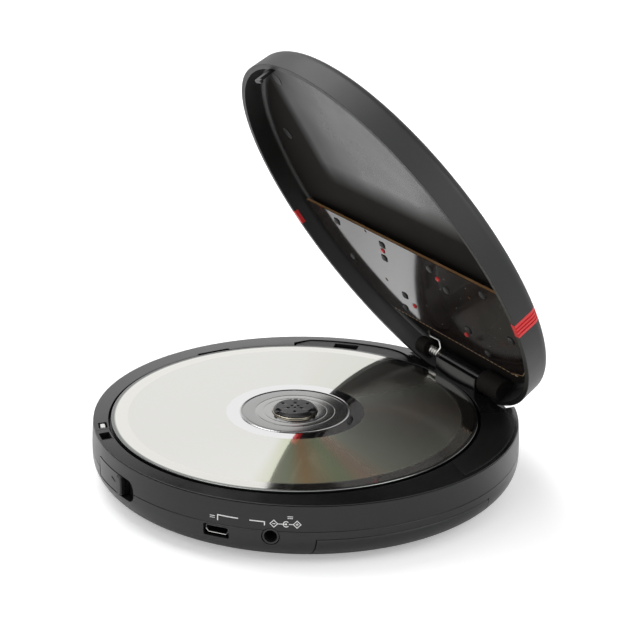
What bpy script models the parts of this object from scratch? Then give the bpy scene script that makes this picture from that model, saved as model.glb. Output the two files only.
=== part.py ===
# Portable CD player with a round case and a pop-up lid, shown open.
# The origin is the centre of the case's underside: +Z up, +X the socket and battery side, +Y the hinge.
# Every piece of the lid is modelled closed and hangs on the lid's hinge, which is then turned open.

import math
import bmesh
import bpy
import numpy as np
from mathutils import Matrix, Vector

mm = 0.001
degree = math.pi / 180

# General making sizes
overrun = 1.0 * mm
joint_gap = 0.3 * mm
weld_distance = 0.0005 * mm
smooth_angle = 35 * degree
ring_segments = 72
part_segments = 24
pin_segments = 12

# Disc and its well, which the case is built round
disc_radius = 60.0 * mm
disc_thickness = 1.2 * mm
disc_hole_radius = 7.5 * mm
disc_offset = 4.22 * mm
disc_rise = 0.41 * mm
well_depth = 1.9 * mm
well_clearance = 0.5 * mm
well_slope_width = 0.5 * mm
rim_land = 4.48 * mm

# Cells, which the case is as deep as
cell_radius = 7.0 * mm
cell_length = 49.2 * mm
cell_shoulder = 0.7 * mm
cell_nub_radius = 2.7 * mm
cell_nub_length = 1.2 * mm
cell_gap = 0.8 * mm
cell_wall_gap = 0.2671 * mm

# Case
case_radius = disc_radius + disc_offset + well_clearance + well_slope_width + rim_land
wall_bulge = 0.6 * mm
floor_round_width = 9.0 * mm
floor_round_height = 8.2 * mm
floor_round_steps = 6
floor_thickness = 2.0 * mm
wall_thickness = 2.4 * mm
deck_thickness = 3.1 * mm
base_height = floor_thickness + 2 * cell_radius + joint_gap + deck_thickness
seam_drop = 8.8 * mm
seam_height = base_height - seam_drop
seam_gap = 0.3 * mm
lip_thickness = 0.8 * mm
lip_height = 1.6 * mm
deck_wall_thickness = 2.2 * mm
rim_groove_drop = 0.7 * mm
rim_groove_depth = 0.25 * mm
rim_groove_height = 0.3 * mm

# Disc drive
stack_ring_radius = 17.9 * mm
stack_ring_height = 0.2 * mm
stack_ring_width = 0.6 * mm
turntable_radius = 15.2 * mm
turntable_thickness = 1.3 * mm
turntable_hub_radius = 4.0 * mm
turntable_hub_height = 2.6 * mm
boss_radius = 5.0 * mm
shaft_radius = 0.75 * mm
cap_radius = 7.2 * mm
cap_rise = 2.0 * mm
cap_chamfer = 0.9 * mm
cap_roof = 0.8 * mm
finger_count = 3
finger_width = 2.2 * mm
finger_reach = 0.8 * mm
finger_height = 0.6 * mm
cap_hole_radius = 0.7 * mm
cap_hole_ring_shares = (0.64, 0.37, 0.16)

# Pickup drive
chassis_thickness = 1.0 * mm
chassis_drop = 7.8 * mm
chassis_top = base_height - chassis_drop
chassis_bay_gap = 8.7 * mm
chassis_half_width = 26.0 * mm
chassis_corner = 5.0 * mm
pickup_window_half_width = 8.0 * mm
spindle_motor_radius = 10.5 * mm
spindle_motor_height = 7.2 * mm
rod_radius = 1.0 * mm
rod_rise = 1.9 * mm
rod_height = chassis_top + rod_rise
rod_spacing = 26.0 * mm
tab_thickness = 1.4 * mm
tab_half_width = 2.2 * mm
tab_rise = 3.9 * mm
sled_inner_track = 24.5 * mm
disc_blank_edge = 3.0 * mm
sled_travel = disc_radius - disc_blank_edge - sled_inner_track
sled_outer_reach = 4.5 * mm
chassis_left = sled_inner_track + sled_travel + sled_outer_reach + joint_gap
sled_inner_reach = 11.5 * mm
sled_half_width = 17.0 * mm
sled_height = 3.7 * mm
sled_drop = 3.2 * mm
sled_drop_half_width = 5.5 * mm
lens_block_radius = 4.4 * mm
lens_radius = 2.2 * mm
lens_rise = 0.3 * mm
lens_slot_half_width = 6.2 * mm
gear_module = 0.6 * mm
tooth_addendum_share = 0.85
tooth_dedendum_share = 1.15
tooth_thickness_share = 0.42
tooth_tip_share = 0.45
pinion_teeth = 12
wheel_teeth = 36
motor_pinion_teeth = 10
mesh_clearance = 0.15 * mm
pinion_height = 1.4 * mm
wheel_height = 1.4 * mm
wheel_drop = 3.0 * mm
wheel_base = chassis_top - wheel_drop
gear_bore = 1.1 * mm
gear_post_radius = 0.8 * mm
gear_column = 26.0 * mm
rack_bar_width = 1.6 * mm
rack_teeth = 20
sled_motor_radius = 7.5 * mm
sled_motor_bearing = 30 * degree

# Lid
hinge_inset = 8.34 * mm
hinge_back = case_radius - hinge_inset
hinge_rise = 4.03 * mm
open_angle = 58.87 * degree
lid_inset = 0.2 * mm
lid_radius = case_radius - lid_inset
lid_gap = 0.35 * mm
lid_wall_height = 6.45 * mm
lid_draft = 0.35 * mm
lid_corner_radius = 3.3 * mm
lid_corner_sweep = 80 * degree
lid_corner_steps = 4
lid_dome_rise = 0.71 * mm
lid_dome_steps = 4
lid_wall_thickness = 2.0 * mm
lid_top_thickness = 2.0 * mm

# Lid board and what it carries
board_inset = 5.5 * mm
board_radius = lid_radius - board_inset
board_front = 6.8 * mm
board_rear = 49.5 * mm
board_level = 5.15 * mm
board_thickness = 1.0 * mm
board_corner_radius = 4.0 * mm
lid_boss_radius = 2.0 * mm
boss_place_shares = (
    (0.7, 0.1703), (0.2297, 0.1781), (0.2992, 0.2969), (0.3047, 0.5719), (0.3969, 0.7), (0.7578, 0.45),
)
peg_radius = 0.9 * mm
peg_drop = 0.7 * mm
band_peg_side = 17.0 * mm
frame_peg_side = 16.0 * mm
peg_length = 2.8 * mm

# Lid top
band_front = 9.6 * mm
band_width = 5.3 * mm
band_depth = 0.8 * mm
band_foot_height = 1.4 * mm
band_groove_count = 3
band_groove_width = 0.5 * mm
band_groove_depth = 0.3 * mm
window_width = 30.0 * mm
window_length = 13.0 * mm
window_back = 24.5 * mm
window_thickness = 1.4 * mm
window_peg_gap = 9.3 * mm
frame_width = 1.2 * mm
panel_thickness = 1.4 * mm
button_travel = 0.4 * mm
button_rise = 0.7 * mm
button_flange = 0.8 * mm
button_flange_thickness = 0.45 * mm
play_radius = 5.0 * mm
skip_radius = 4.0 * mm
volume_radius = 3.2 * mm
play_back = 38.5 * mm
skip_inset = 28.5 * mm
skip_side = board_radius - skip_inset
skip_back = 20.0 * mm
stop_inset = 30.0 * mm
stop_side = board_radius - stop_inset
stop_back = 36.0 * mm
volume_inset = 13.0 * mm
volume_side = board_radius - volume_inset
volume_back = 18.5 * mm

# Hinge
barrel_radius = 2.6 * mm
block_left = 10.0 * mm
block_right = 14.0 * mm
stem_inset = 1.06 * mm
stem_length = 3.1 * mm
stem_side_step = 0.2 * mm
stem_rear = hinge_back - stem_inset
stem_front = stem_rear - stem_length
stem_foot_drop = 4.9 * mm
stem_top_rise = 5.2 * mm
knuckle_gap = 1.0 * mm
right_knuckle_radius = 4.2 * mm
left_knuckle_radius = 3.4 * mm
right_knuckle_width = 11.5 * mm
left_knuckle_width = 6.4 * mm
pin_share = 0.7
pin_hole_share = 0.75
left_knuckle_start = 19.6 * mm
hinge_pin_radius = 0.6 * mm
pin_in_block = 5.0 * mm
notch_half_width = 29.0 * mm
notch_inset = 2.76 * mm
notch_front = hinge_back - notch_inset
notch_clearance = 0.7 * mm
trough_wall = 1.6 * mm
trough_floor = 1.2 * mm

# Torsion spring
spring_wire = 0.8 * mm
spring_turns = 4
spring_pitch = 1.3 * mm
spring_radius = 1.4 * mm
spring_points_per_turn = 9
spring_start = 13.6 * mm
spring_leg_gap = 0.1 * mm
spring_leg_bends = (
    (-15.3 * mm, 3.36 * mm), (-21.5 * mm, 2.86 * mm), (-21.5 * mm, 4.36 * mm), (-20.4 * mm, 5.76 * mm),
)
spring_bend = 0.5 * mm

# Latch
latch_bearing = -99.7 * degree
latch_hole_width = 5.1 * mm
latch_hole_length = 3.3 * mm
hook_thickness = 1.1 * mm
hook_inset = 2.75 * mm
hook_reach = lid_radius - hook_inset
latch_hole_shift = 0.6 * mm
latch_hole_reach = hook_reach + latch_hole_shift
hook_stem_width = 2.2 * mm
hook_claw_width = 2.0 * mm
hook_drop = 5.2 * mm
hook_claw_height = 1.1 * mm
hook_top = 6.4 * mm
peg_bearing = -106.85 * degree
peg_hole_width = 4.5 * mm
peg_hole_length = 2.8 * mm
peg_hole_inset = 2.8 * mm
peg_hole_reach = case_radius - peg_hole_inset
peg_tip_drop = 0.3 * mm
peg_tip_width = 2.9 * mm
peg_tip_length = 1.5 * mm
switch_length = 7.0 * mm
switch_travel = 1.0 * mm
slider_left = -96.8 * degree
slider_right = -77.2 * degree
slider_cap_end = -82.6 * degree
slider_travel = 3.2 * degree
slider_below_seam = 3.2 * mm
slider_height = 7.0 * mm
slider_low = seam_height - slider_below_seam
slider_high = slider_low + slider_height
slider_backing_thickness = 1.3 * mm
slider_backing_drop = 0.4 * mm
slider_backing_height = 6.6 * mm
slider_backing_low = slider_low - slider_backing_drop
slider_backing_high = slider_backing_low + slider_backing_height
slider_backing_left = -101.0 * degree
slider_backing_right = -72.6 * degree
slider_high_round = 3.2 * mm
slider_low_round = 1.2 * mm
slider_left_round = 0.8 * mm
slider_grip_width = 2.2 * mm
slider_grip_rise = 0.9 * mm
catch_left = -97.4 * degree
catch_right = -90.0 * degree
catch_nose_height = 1.0 * mm
rounding_shares = (0, 0.08, 0.25, 0.5, 0.75, 1)
grip_roundness_share = 0.6
arc_steps = 10

# Sockets
usb_turn = 13.7 * degree
usb_below_seam = 2.45 * mm
usb_level = seam_height - usb_below_seam
usb_recess_width = 8.2 * mm
usb_recess_height = 3.9 * mm
usb_width = 7.5 * mm
usb_foot_width = 5.7 * mm
usb_height = 2.5 * mm
usb_wall = 0.35 * mm
usb_length = 5.6 * mm
usb_setback = 1.5 * mm
usb_tongue = 0.6 * mm
jack_bay_gap = 9.64 * mm
jack_below_seam = 1.85 * mm
jack_level = seam_height - jack_below_seam
jack_radius = 2.6 * mm
jack_bore = 1.95 * mm
jack_pin_radius = 0.6 * mm
jack_body_half_width = 3.6 * mm
jack_body_drop = 2.75 * mm
jack_body_height = 5.4 * mm
jack_body_low = jack_level - jack_body_drop
jack_body_high = jack_body_low + jack_body_height
jack_barrel_length = 4.0 * mm
jack_length = 10.0 * mm
phones_bearing = -135.0 * degree
phones_bore = 1.75 * mm

# Battery bay
door_top = 8.0 * mm
door_travel = 8.0 * mm
bay_wall = 1.3 * mm
bay_top_drop = 0.1 * mm
bay_shift = 1.0 * mm
bay_side_gap = 1.0 * mm
contact_thickness = 0.5 * mm
contact_nub = 1.2 * mm
contact_width = 9.0 * mm
contact_height = 8.0 * mm
cell_spring_wire = 0.7 * mm
cell_spring_turns = 4
cell_spring_big = 3.6 * mm
cell_spring_small = 2.4 * mm
cell_spring_length = 7.0 * mm

# Boards in the base
base_board_level = 4.8 * mm
base_board_thickness = 1.0 * mm
base_board_inset = 4.7 * mm
base_board_radius = case_radius - base_board_inset
main_board_start = -78 * degree
main_board_bay_gap = 1.9 * mm
main_board_corner = 2.8 * mm
servo_board_start = 69 * degree
servo_board_front = 25.0 * mm
servo_board_corner = 2.47 * mm
servo_board_end = math.pi - math.asin((servo_board_front + servo_board_corner) / base_board_radius)
servo_board_side = 24.3 * mm
chip_size = 13.0 * mm
main_chip_usb_gap = 9.9 * mm
main_chip_margin = 9.5 * mm
servo_chip_sides = (-33.0 * mm, 2.0 * mm)
servo_chip_margin = 13.0 * mm
chip_height = 1.6 * mm
post_radius = 2.4 * mm

# Feet and screws
foot_radius = 4.0 * mm
foot_inset = 12.7 * mm
foot_circle = case_radius - foot_inset
foot_door_gap = 5.3 * mm
foot_drop = 1.2 * mm
foot_recess = 0.6 * mm
foot_round = 0.4 * mm
screw_side = 20.6 * mm
screw_inset = 18.7 * mm
screw_back = case_radius - screw_inset
screw_head_radius = 2.4 * mm
screw_head_height = 1.2 * mm
screw_shank_radius = 0.9 * mm
screw_length = 9.0 * mm
screw_recess = 3.4 * mm
screw_boss_radius = 2.9 * mm
screw_boss_low = 5.2 * mm
slot_width = 0.7 * mm
slot_depth = 0.6 * mm
slot_reach_share = 0.7

# Hinge trims on the deck
trim_thickness = 0.9 * mm
trim_tip_width = 1.0 * mm
trim_left_edge = (
    (10.1 * mm, 113.0 * degree), (6.9 * mm, 117.4 * degree), (5.2 * mm, 123.0 * degree),
    (4.9 * mm, 131.0 * degree), (4.7 * mm, 140.0 * degree), (4.5 * mm, 148.0 * degree),
    (4.8 * mm, 150.3 * degree), (7.9 * mm, 154.6 * degree),
)
trim_left_gap = 0.7 * mm
trim_right_edge = (
    (1.2 * mm, 15.6 * degree), (1.2 * mm, 24.0 * degree), (1.2 * mm, 32.0 * degree),
    (1.2 * mm, 40.0 * degree), (1.2 * mm, 48.0 * degree), (1.4 * mm, 56.0 * degree),
    (3.7 * mm, 61.0 * degree),
)
trim_right_gap = 0.3 * mm
trim_seam_inner = 19.8 * degree
trim_notch_bearing = 137.5 * degree
trim_notch_width = 8.8 * mm
trim_notch_inset = 6.1 * mm

# Worked out from the sizes above
rim = base_height
disc_top = rim + disc_rise
disc_bottom = disc_top - disc_thickness
well_floor = rim - well_depth
deck_underside = rim - deck_thickness
flat_radius = case_radius + wall_bulge - floor_round_width
inner_radius = case_radius + wall_bulge - wall_thickness
bay_height = floor_thickness + 2 * cell_radius - bay_top_drop
bay_length = (cell_length + 2 * contact_thickness + contact_nub + cell_spring_length + cell_spring_wire
              + 3 * joint_gap)
door_front = bay_length / 2 + bay_shift
door_rear = bay_length / 2 - bay_shift
bay_front = door_front + joint_gap + bay_wall
main_board_front = bay_front + main_board_bay_gap
main_board_end = -math.asin((main_board_front + main_board_corner) / base_board_radius)
jack_bearing = -math.asin((bay_front + jack_bay_gap) / case_radius)
usb_bearing = jack_bearing - usb_turn
foot_side = door_front + foot_door_gap + foot_radius
cell_spacing = 2 * cell_radius + cell_gap
cell_last = math.sqrt((inner_radius - cell_wall_gap) ** 2 - door_rear ** 2) - cell_radius
cell_first = cell_last - cell_spacing
door_inner = cell_first - cell_radius - bay_side_gap
chassis_right = door_inner - joint_gap - bay_wall - chassis_bay_gap
lid_rim = rim + lid_gap
lid_wall_top = lid_rim + lid_wall_height
lid_top_radius = lid_radius - lid_draft
dome_radius = lid_top_radius - lid_corner_radius * (1 - math.cos(lid_corner_sweep))
dome_edge = lid_wall_top + lid_corner_radius * math.sin(lid_corner_sweep)
lid_inner_top = dome_edge + lid_dome_rise - lid_top_thickness
board_low = lid_rim + board_level
board_top = board_low + board_thickness
hinge_level = rim + hinge_rise
disc_centre = Vector((0, -disc_offset, 0))
rod_offset = rod_spacing / 2
rack_low = chassis_top + 2 * joint_gap
pinion_radius = gear_module * pinion_teeth / 2
wheel_radius = gear_module * wheel_teeth / 2
motor_pinion_radius = gear_module * motor_pinion_teeth / 2
rack_line = -disc_offset - sled_half_width - rack_bar_width - gear_module * tooth_dedendum_share
gear_line = rack_line - pinion_radius - mesh_clearance

# Materials: colour, roughness, metallic
finishes = {
    "case_black": ((0.022, 0.022, 0.024), 0.42, 0.0),
    "gloss_black": ((0.010, 0.010, 0.011), 0.12, 0.0),
    "board_black": ((0.014, 0.013, 0.013), 0.2, 0.0),
    "board_green": ((0.02, 0.16, 0.07), 0.4, 0.0),
    "accent_red": ((0.75, 0.015, 0.02), 0.35, 0.0),
    "bright_steel": ((0.62, 0.62, 0.6), 0.28, 1.0),
    "dark_steel": ((0.16, 0.16, 0.17), 0.4, 1.0),
    "peg_white": ((0.75, 0.75, 0.73), 0.45, 0.0),
    "gear_plastic": ((0.78, 0.76, 0.68), 0.45, 0.0),
    "disc_mirror": ((0.72, 0.73, 0.72), 0.08, 1.0),
    "foot_rubber": ((0.015, 0.015, 0.015), 0.8, 0.0),
    "cell_jacket": ((0.12, 0.2, 0.32), 0.35, 0.2),
    "lens_glass": ((0.08, 0.12, 0.3), 0.05, 0.0),
    "window_clear": ((0.03, 0.035, 0.04), 0.06, 0.0),
    "panel_grey": ((0.3, 0.34, 0.3), 0.3, 0.0),
}


def clear_scene():
    for item in list(bpy.data.objects):
        bpy.data.objects.remove(item, do_unlink=True)


def material(name):
    found = bpy.data.materials.get(name)
    if found:
        return found
    colour, roughness, metallic = finishes[name]
    made = bpy.data.materials.new(name)
    made.use_nodes = True
    shader = made.node_tree.nodes["Principled BSDF"]
    shader.inputs["Base Color"].default_value = (*colour, 1)
    shader.inputs["Roughness"].default_value = roughness
    shader.inputs["Metallic"].default_value = metallic
    made.diffuse_color = (*colour, 1)
    return made


def keep(bm, name, finish, holder=None, cutter=False):
    bmesh.ops.remove_doubles(bm, verts=bm.verts, dist=weld_distance)
    bmesh.ops.recalc_face_normals(bm, faces=bm.faces)
    mesh = bpy.data.meshes.new(name)
    bm.to_mesh(mesh)
    bm.free()
    mesh.shade_smooth()
    mesh.set_sharp_from_angle(angle=smooth_angle)
    made = bpy.data.objects.new(name, mesh)
    bpy.context.collection.objects.link(made)
    if holder is not None:
        made.parent = holder
        made.matrix_parent_inverse = Matrix.Translation(-Vector(holder["closed_place"]))
    if cutter:
        made.hide_render = True
        made.display_type = "WIRE"
    else:
        made.data.materials.append(material(finish))
    return made


def axis(name, place, holder=None):
    made = bpy.data.objects.new(name, None)
    made["closed_place"] = tuple(place)
    bpy.context.collection.objects.link(made)
    if holder is None:
        made.location = place
    else:
        made.parent = holder
        made.location = Vector(place) - Vector(holder["closed_place"])
    return made


def combine(target, other, operation):
    step = target.modifiers.new(other.name, "BOOLEAN")
    step.operation = operation
    step.solver = "EXACT"
    step.object = other
    return target


def cut(target, *cutters):
    for cutter in cutters:
        combine(target, cutter, "DIFFERENCE")


def join(target, *extras):
    for extra in extras:
        combine(target, extra, "UNION")


# Columns are (bearing, low, high) in order round the wall
def wall_patch(columns, near, far):
    bm = bmesh.new()
    rows = []
    for bearing, low, high in columns:
        corners = ((near, low), (far, low), (far, high), (near, high))
        rows.append([bm.verts.new((*polar(reach, bearing), level)) for reach, level in corners])
    bm.faces.new(rows[0])
    bm.faces.new(rows[-1])
    for row, following in zip(rows, rows[1:]):
        for side in range(4):
            turn = (side + 1) % 4
            bm.faces.new((row[side], row[turn], following[turn], following[side]))
    return bm


# Profiles are lists of (radius, height), turned about a vertical axis
def turned(profile, segments=ring_segments, centre=(0, 0), closed=True):
    bm = bmesh.new()
    corners = [bm.verts.new((centre[0] + r, centre[1], z)) for r, z in profile]
    pairs = list(zip(corners, corners[1:]))
    if closed:
        pairs.append((corners[-1], corners[0]))
    edges = [bm.edges.new(pair) for pair in pairs]
    bmesh.ops.spin(
        bm, geom=corners + edges, cent=(centre[0], centre[1], 0), axis=(0, 0, 1),
        angle=math.tau, steps=segments, use_merge=True,
    )
    return bm


def prism(outline, low, high):
    bm = bmesh.new()
    face = bm.faces.new([bm.verts.new((x, y, low)) for x, y in outline])
    raised = bmesh.ops.extrude_face_region(bm, geom=[face])
    tops = [item for item in raised["geom"] if isinstance(item, bmesh.types.BMVert)]
    bmesh.ops.translate(bm, verts=tops, vec=(0, 0, high - low))
    return bm


def block(low, high):
    size = Vector(high) - Vector(low)
    middle = (Vector(high) + Vector(low)) / 2
    bm = bmesh.new()
    bmesh.ops.create_cube(bm, size=1, matrix=Matrix.Translation(middle) @ Matrix.Diagonal((*size, 1)))
    return bm


def rod(start, end, radius, segments=part_segments, end_radius=None):
    start, end = Vector(start), Vector(end)
    run = end - start
    turn = run.to_track_quat("Z", "Y").to_matrix().to_4x4()
    bm = bmesh.new()
    bmesh.ops.create_cone(
        bm, cap_ends=True, segments=segments, radius1=radius,
        radius2=radius if end_radius is None else end_radius, depth=run.length,
        matrix=Matrix.Translation((start + end) / 2) @ turn,
    )
    return bm


def merged(*parts):
    bm = bmesh.new()
    for part in parts:
        spare = bpy.data.meshes.new("spare")
        part.to_mesh(spare)
        part.free()
        bm.from_mesh(spare)
        bpy.data.meshes.remove(spare)
    return bm


def polar(radius, angle):
    return (radius * math.cos(angle), radius * math.sin(angle))


def arc(radius, start, end, steps=arc_steps, centre=(0, 0)):
    points = []
    for step in range(steps + 1):
        x, y = polar(radius, start + (end - start) * step / steps)
        points.append((centre[0] + x, centre[1] + y))
    return points


# A plan outline between two radii and two bearings
def sector(inner, outer, start, end, steps=arc_steps):
    return arc(outer, start, end, steps) + arc(inner, end, start, steps)


# A box set square to the case's radius at one bearing
def radial_outline(bearing, near, far, width):
    along = Vector(polar(1, bearing))
    across = Vector((-along.y, along.x)) * width / 2
    near_point, far_point = along * near, along * far
    return [tuple(p) for p in (near_point - across, far_point - across, far_point + across,
                               near_point + across)]


def wall_radius(height):
    share = (rim - height) / (rim - floor_round_height)
    return case_radius + wall_bulge * math.sin(math.pi / 2 * min(share, 1))


def floor_round(radius_at_flat, width, height, low, steps):
    points = []
    for step in range(steps + 1):
        turn = math.pi / 2 * step / steps
        points.append((radius_at_flat + width * math.sin(turn), low + height * (1 - math.cos(turn))))
    return points


def lower_shell_profile(top):
    outer = floor_round(flat_radius, floor_round_width, floor_round_height, 0, floor_round_steps)
    inner_width = inner_radius - flat_radius
    inner_height = floor_round_height - floor_thickness
    inner = floor_round(flat_radius, inner_width, inner_height, floor_thickness, floor_round_steps - 2)
    if top <= floor_round_height:
        return outer, inner
    outer.append((wall_radius(top), top))
    return outer, inner


# Half way through the shell's wall, and clear of the deck's wall above the seam
def bay_bounds_profile():
    inner_width = inner_radius - flat_radius
    middle = floor_round(flat_radius, (floor_round_width + inner_width) / 2,
                         floor_round_height - floor_thickness / 2, floor_thickness / 2, floor_round_steps)
    above = inner_radius - joint_gap
    low = floor_thickness / 2
    return [(0, low)] + middle + [(middle[-1][0], seam_height - overrun), (above, seam_height - overrun),
                                  (above, bay_height), (0, bay_height)]


def make_bottom_cover():
    top = seam_height - seam_gap / 2
    outer, inner = lower_shell_profile(top)
    lip_outer = inner_radius + lip_thickness
    lip = [(lip_outer, top), (lip_outer, top + lip_height), (inner_radius, top + lip_height)]
    profile = [(0, 0)] + outer + lip + inner[::-1] + [(0, floor_thickness)]
    cover = keep(turned(profile, closed=False), "bottom_cover", "case_black")
    posts = []
    for side in (-1, 1):
        for back in (-1, 1):
            posts.append((side * screw_side, back * screw_back, screw_boss_radius,
                          screw_boss_low - joint_gap))
    for x, y in ((chassis_right, -chassis_half_width), (chassis_right, chassis_half_width),
                 (-chassis_left, chassis_half_width), (-chassis_left, -chassis_half_width)):
        inset_x = x - math.copysign(chassis_corner, x)
        inset_y = y - math.copysign(chassis_corner, y) - disc_offset
        posts.append((inset_x, inset_y, post_radius, chassis_top - chassis_thickness - joint_gap))
    for number, (x, y, radius, height) in enumerate(posts):
        post = keep(rod((x, y, floor_thickness / 2), (x, y, height), radius, pin_segments),
                    f"cover_post_{number}", None, cutter=True)
        join(cover, post)
    gear_post = keep(rod((-gear_column, gear_line, floor_thickness / 2),
                         (-gear_column, gear_line, rack_low + pinion_height), gear_post_radius,
                         pin_segments),
                     "gear_post", None, cutter=True)
    join(cover, gear_post)
    bounds = keep(turned(bay_bounds_profile(), closed=False), "bay_bounds", None, cutter=True)
    for number, (y_low, y_high) in enumerate((
            (-door_front - joint_gap - bay_wall, -door_front - joint_gap),
            (door_rear + joint_gap, door_rear + joint_gap + bay_wall))):
        wall = keep(block((door_inner - joint_gap - bay_wall, y_low, floor_thickness / 2),
                          (case_radius, y_high, bay_height)), f"bay_end_{number}", None, cutter=True)
        combine(wall, bounds, "INTERSECT")
        join(cover, wall)
    side_wall = keep(block((door_inner - joint_gap - bay_wall, -door_front - joint_gap,
                            floor_thickness / 2),
                           (door_inner - joint_gap, door_rear + joint_gap, bay_height)),
                     "bay_side", None, cutter=True)
    join(cover, side_wall)
    cut(cover, keep(prism(door_outline(joint_gap), -overrun, door_top + joint_gap), "door_cut", None,
                    cutter=True))
    for number, (x, y) in enumerate(foot_places()):
        cut(cover, keep(rod((x, y, -overrun), (x, y, foot_recess + joint_gap), foot_radius + joint_gap,
                            part_segments),
                        f"foot_recess_{number}", None, cutter=True))
    for number, (x, y) in enumerate(screw_places()):
        head = rod((x, y, -overrun), (x, y, screw_head_height + joint_gap), screw_recess, pin_segments)
        cut(cover, keep(head, f"screw_recess_{number}", None, cutter=True))
        hole = rod((x, y, 0), (x, y, screw_boss_low), screw_shank_radius + joint_gap, pin_segments)
        cut(cover, keep(hole, f"screw_hole_{number}", None, cutter=True))
    return cover


def screw_places():
    return [(side * screw_side, back * screw_back) for side in (-1, 1) for back in (-1, 1)]


# Beside the battery door, in order round the case
def foot_places():
    reach = math.sqrt(foot_circle ** 2 - foot_side ** 2)
    return [(x_side * reach, y_side * foot_side) for x_side, y_side in ((1, 1), (-1, 1), (-1, -1), (1, -1))]


def door_outline(grow):
    reach = case_radius + 2 * overrun
    return [(door_inner - grow, -door_front - grow), (reach, -door_front - grow),
            (reach, door_rear + grow), (door_inner - grow, door_rear + grow)]


def make_battery_door():
    slide_axis = axis("battery_door_slide", (door_inner, 0, 0))
    outer, inner = lower_shell_profile(door_top)
    outer = [point for point in outer if point[1] < door_top] + [(wall_radius(door_top), door_top)]
    inner = [point for point in inner if point[1] < door_top] + [(inner_radius, door_top)]
    profile = [(0, 0)] + outer + inner[::-1] + [(0, floor_thickness)]
    door = keep(turned(profile, closed=False), "battery_door", "case_black", slide_axis)
    bounds = keep(prism(door_outline(0), -overrun, door_top + overrun), "door_bounds", None, cutter=True)
    combine(door, bounds, "INTERSECT")
    return door


def make_cells():
    middle = bay_height - cell_radius + joint_gap / 2
    front = -door_front - joint_gap
    rear = door_rear + joint_gap
    for number, x in enumerate((cell_first, cell_first + cell_spacing)):
        facing = -1 if number == 0 else 1
        wall = front if facing < 0 else rear
        nub_end = wall - facing * (contact_thickness + contact_nub + 2 * joint_gap)
        body_end = nub_end - facing * cell_nub_length
        far_end = nub_end - facing * cell_length
        shoulder = cell_shoulder
        bm = turned([(0, 0), (cell_radius - shoulder, 0), (cell_radius, shoulder),
                     (cell_radius, cell_length - cell_nub_length - shoulder),
                     (cell_radius - shoulder, cell_length - cell_nub_length),
                     (cell_nub_radius, cell_length - cell_nub_length),
                     (cell_nub_radius, cell_length), (0, cell_length)], part_segments, closed=False)
        lay = Matrix.Rotation(-math.pi / 2 * facing, 4, "X")
        bmesh.ops.transform(bm, matrix=Matrix.Translation((x, far_end, middle)) @ lay, verts=bm.verts)
        keep(bm, ("cell_inner", "cell_outer")[number], "cell_jacket")
        coil_wall = rear if facing < 0 else front
        coil_near = coil_wall + facing * (contact_thickness + 2 * joint_gap + cell_spring_wire / 2)
        coil_far = far_end - facing * (joint_gap + cell_spring_wire / 2)
        make_cell_spring(("cell_spring_rear", "cell_spring_front")[number], x, coil_near, coil_far, middle)


def make_cell_spring(name, x, start, end, level):
    points = []
    count = cell_spring_turns * spring_points_per_turn
    for step in range(count + 1):
        share = step / count
        turn = math.tau * share * cell_spring_turns
        radius = cell_spring_big + (cell_spring_small - cell_spring_big) * share
        points.append((x + radius * math.cos(turn), start + (end - start) * share,
                       level + radius * math.sin(turn)))
    make_wire(name, points, cell_spring_wire, "bright_steel")


def make_contacts():
    level = bay_height - cell_radius + joint_gap / 2
    for name, wall, facing, nub_x in (
            ("contact_front", -door_front, 1, cell_first),
            ("contact_rear", door_rear, -1, cell_first + cell_spacing)):
        near, far = sorted((wall, wall + facing * contact_thickness))
        left = cell_first - contact_width / 2
        right = cell_first + cell_spacing + contact_width / 2
        plate = keep(block((left, near, level - contact_height / 2),
                           (right, far, level + contact_height / 2)),
                     name, "bright_steel")
        nub = rod((nub_x, wall + facing * contact_thickness / 2, level),
                  (nub_x, wall + facing * (contact_thickness + contact_nub), level), cell_nub_radius,
                  pin_segments)
        join(plate, keep(nub, name + "_nub", None, cutter=True))


# A bent wire: one unbroken tube along the points
def make_wire(name, points, wire, finish, holder=None):
    curve = bpy.data.curves.new(name, "CURVE")
    curve.dimensions = "3D"
    curve.bevel_depth = wire / 2
    curve.bevel_resolution = 1
    curve.use_fill_caps = True
    line = curve.splines.new("POLY")
    line.points.add(len(points) - 1)
    for point, place in zip(line.points, points):
        point.co = (*place, 1)
    made = bpy.data.objects.new(name, curve)
    bpy.context.collection.objects.link(made)
    if holder is not None:
        made.parent = holder
        made.matrix_parent_inverse = Matrix.Translation(-Vector(holder["closed_place"]))
    curve.materials.append(material(finish))
    turns = np.array(points)
    along = np.append(0, np.cumsum(np.linalg.norm(np.diff(turns, axis=0), axis=1)))
    near = min(np.linalg.norm(turns[i] - turns[j]) - wire for i in range(len(turns))
               for j in range(i, len(turns)) if along[j] - along[i] > 4 * wire)
    print(f"{name}: least gap to itself {near / mm:.2f} mm")
    return made


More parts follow.
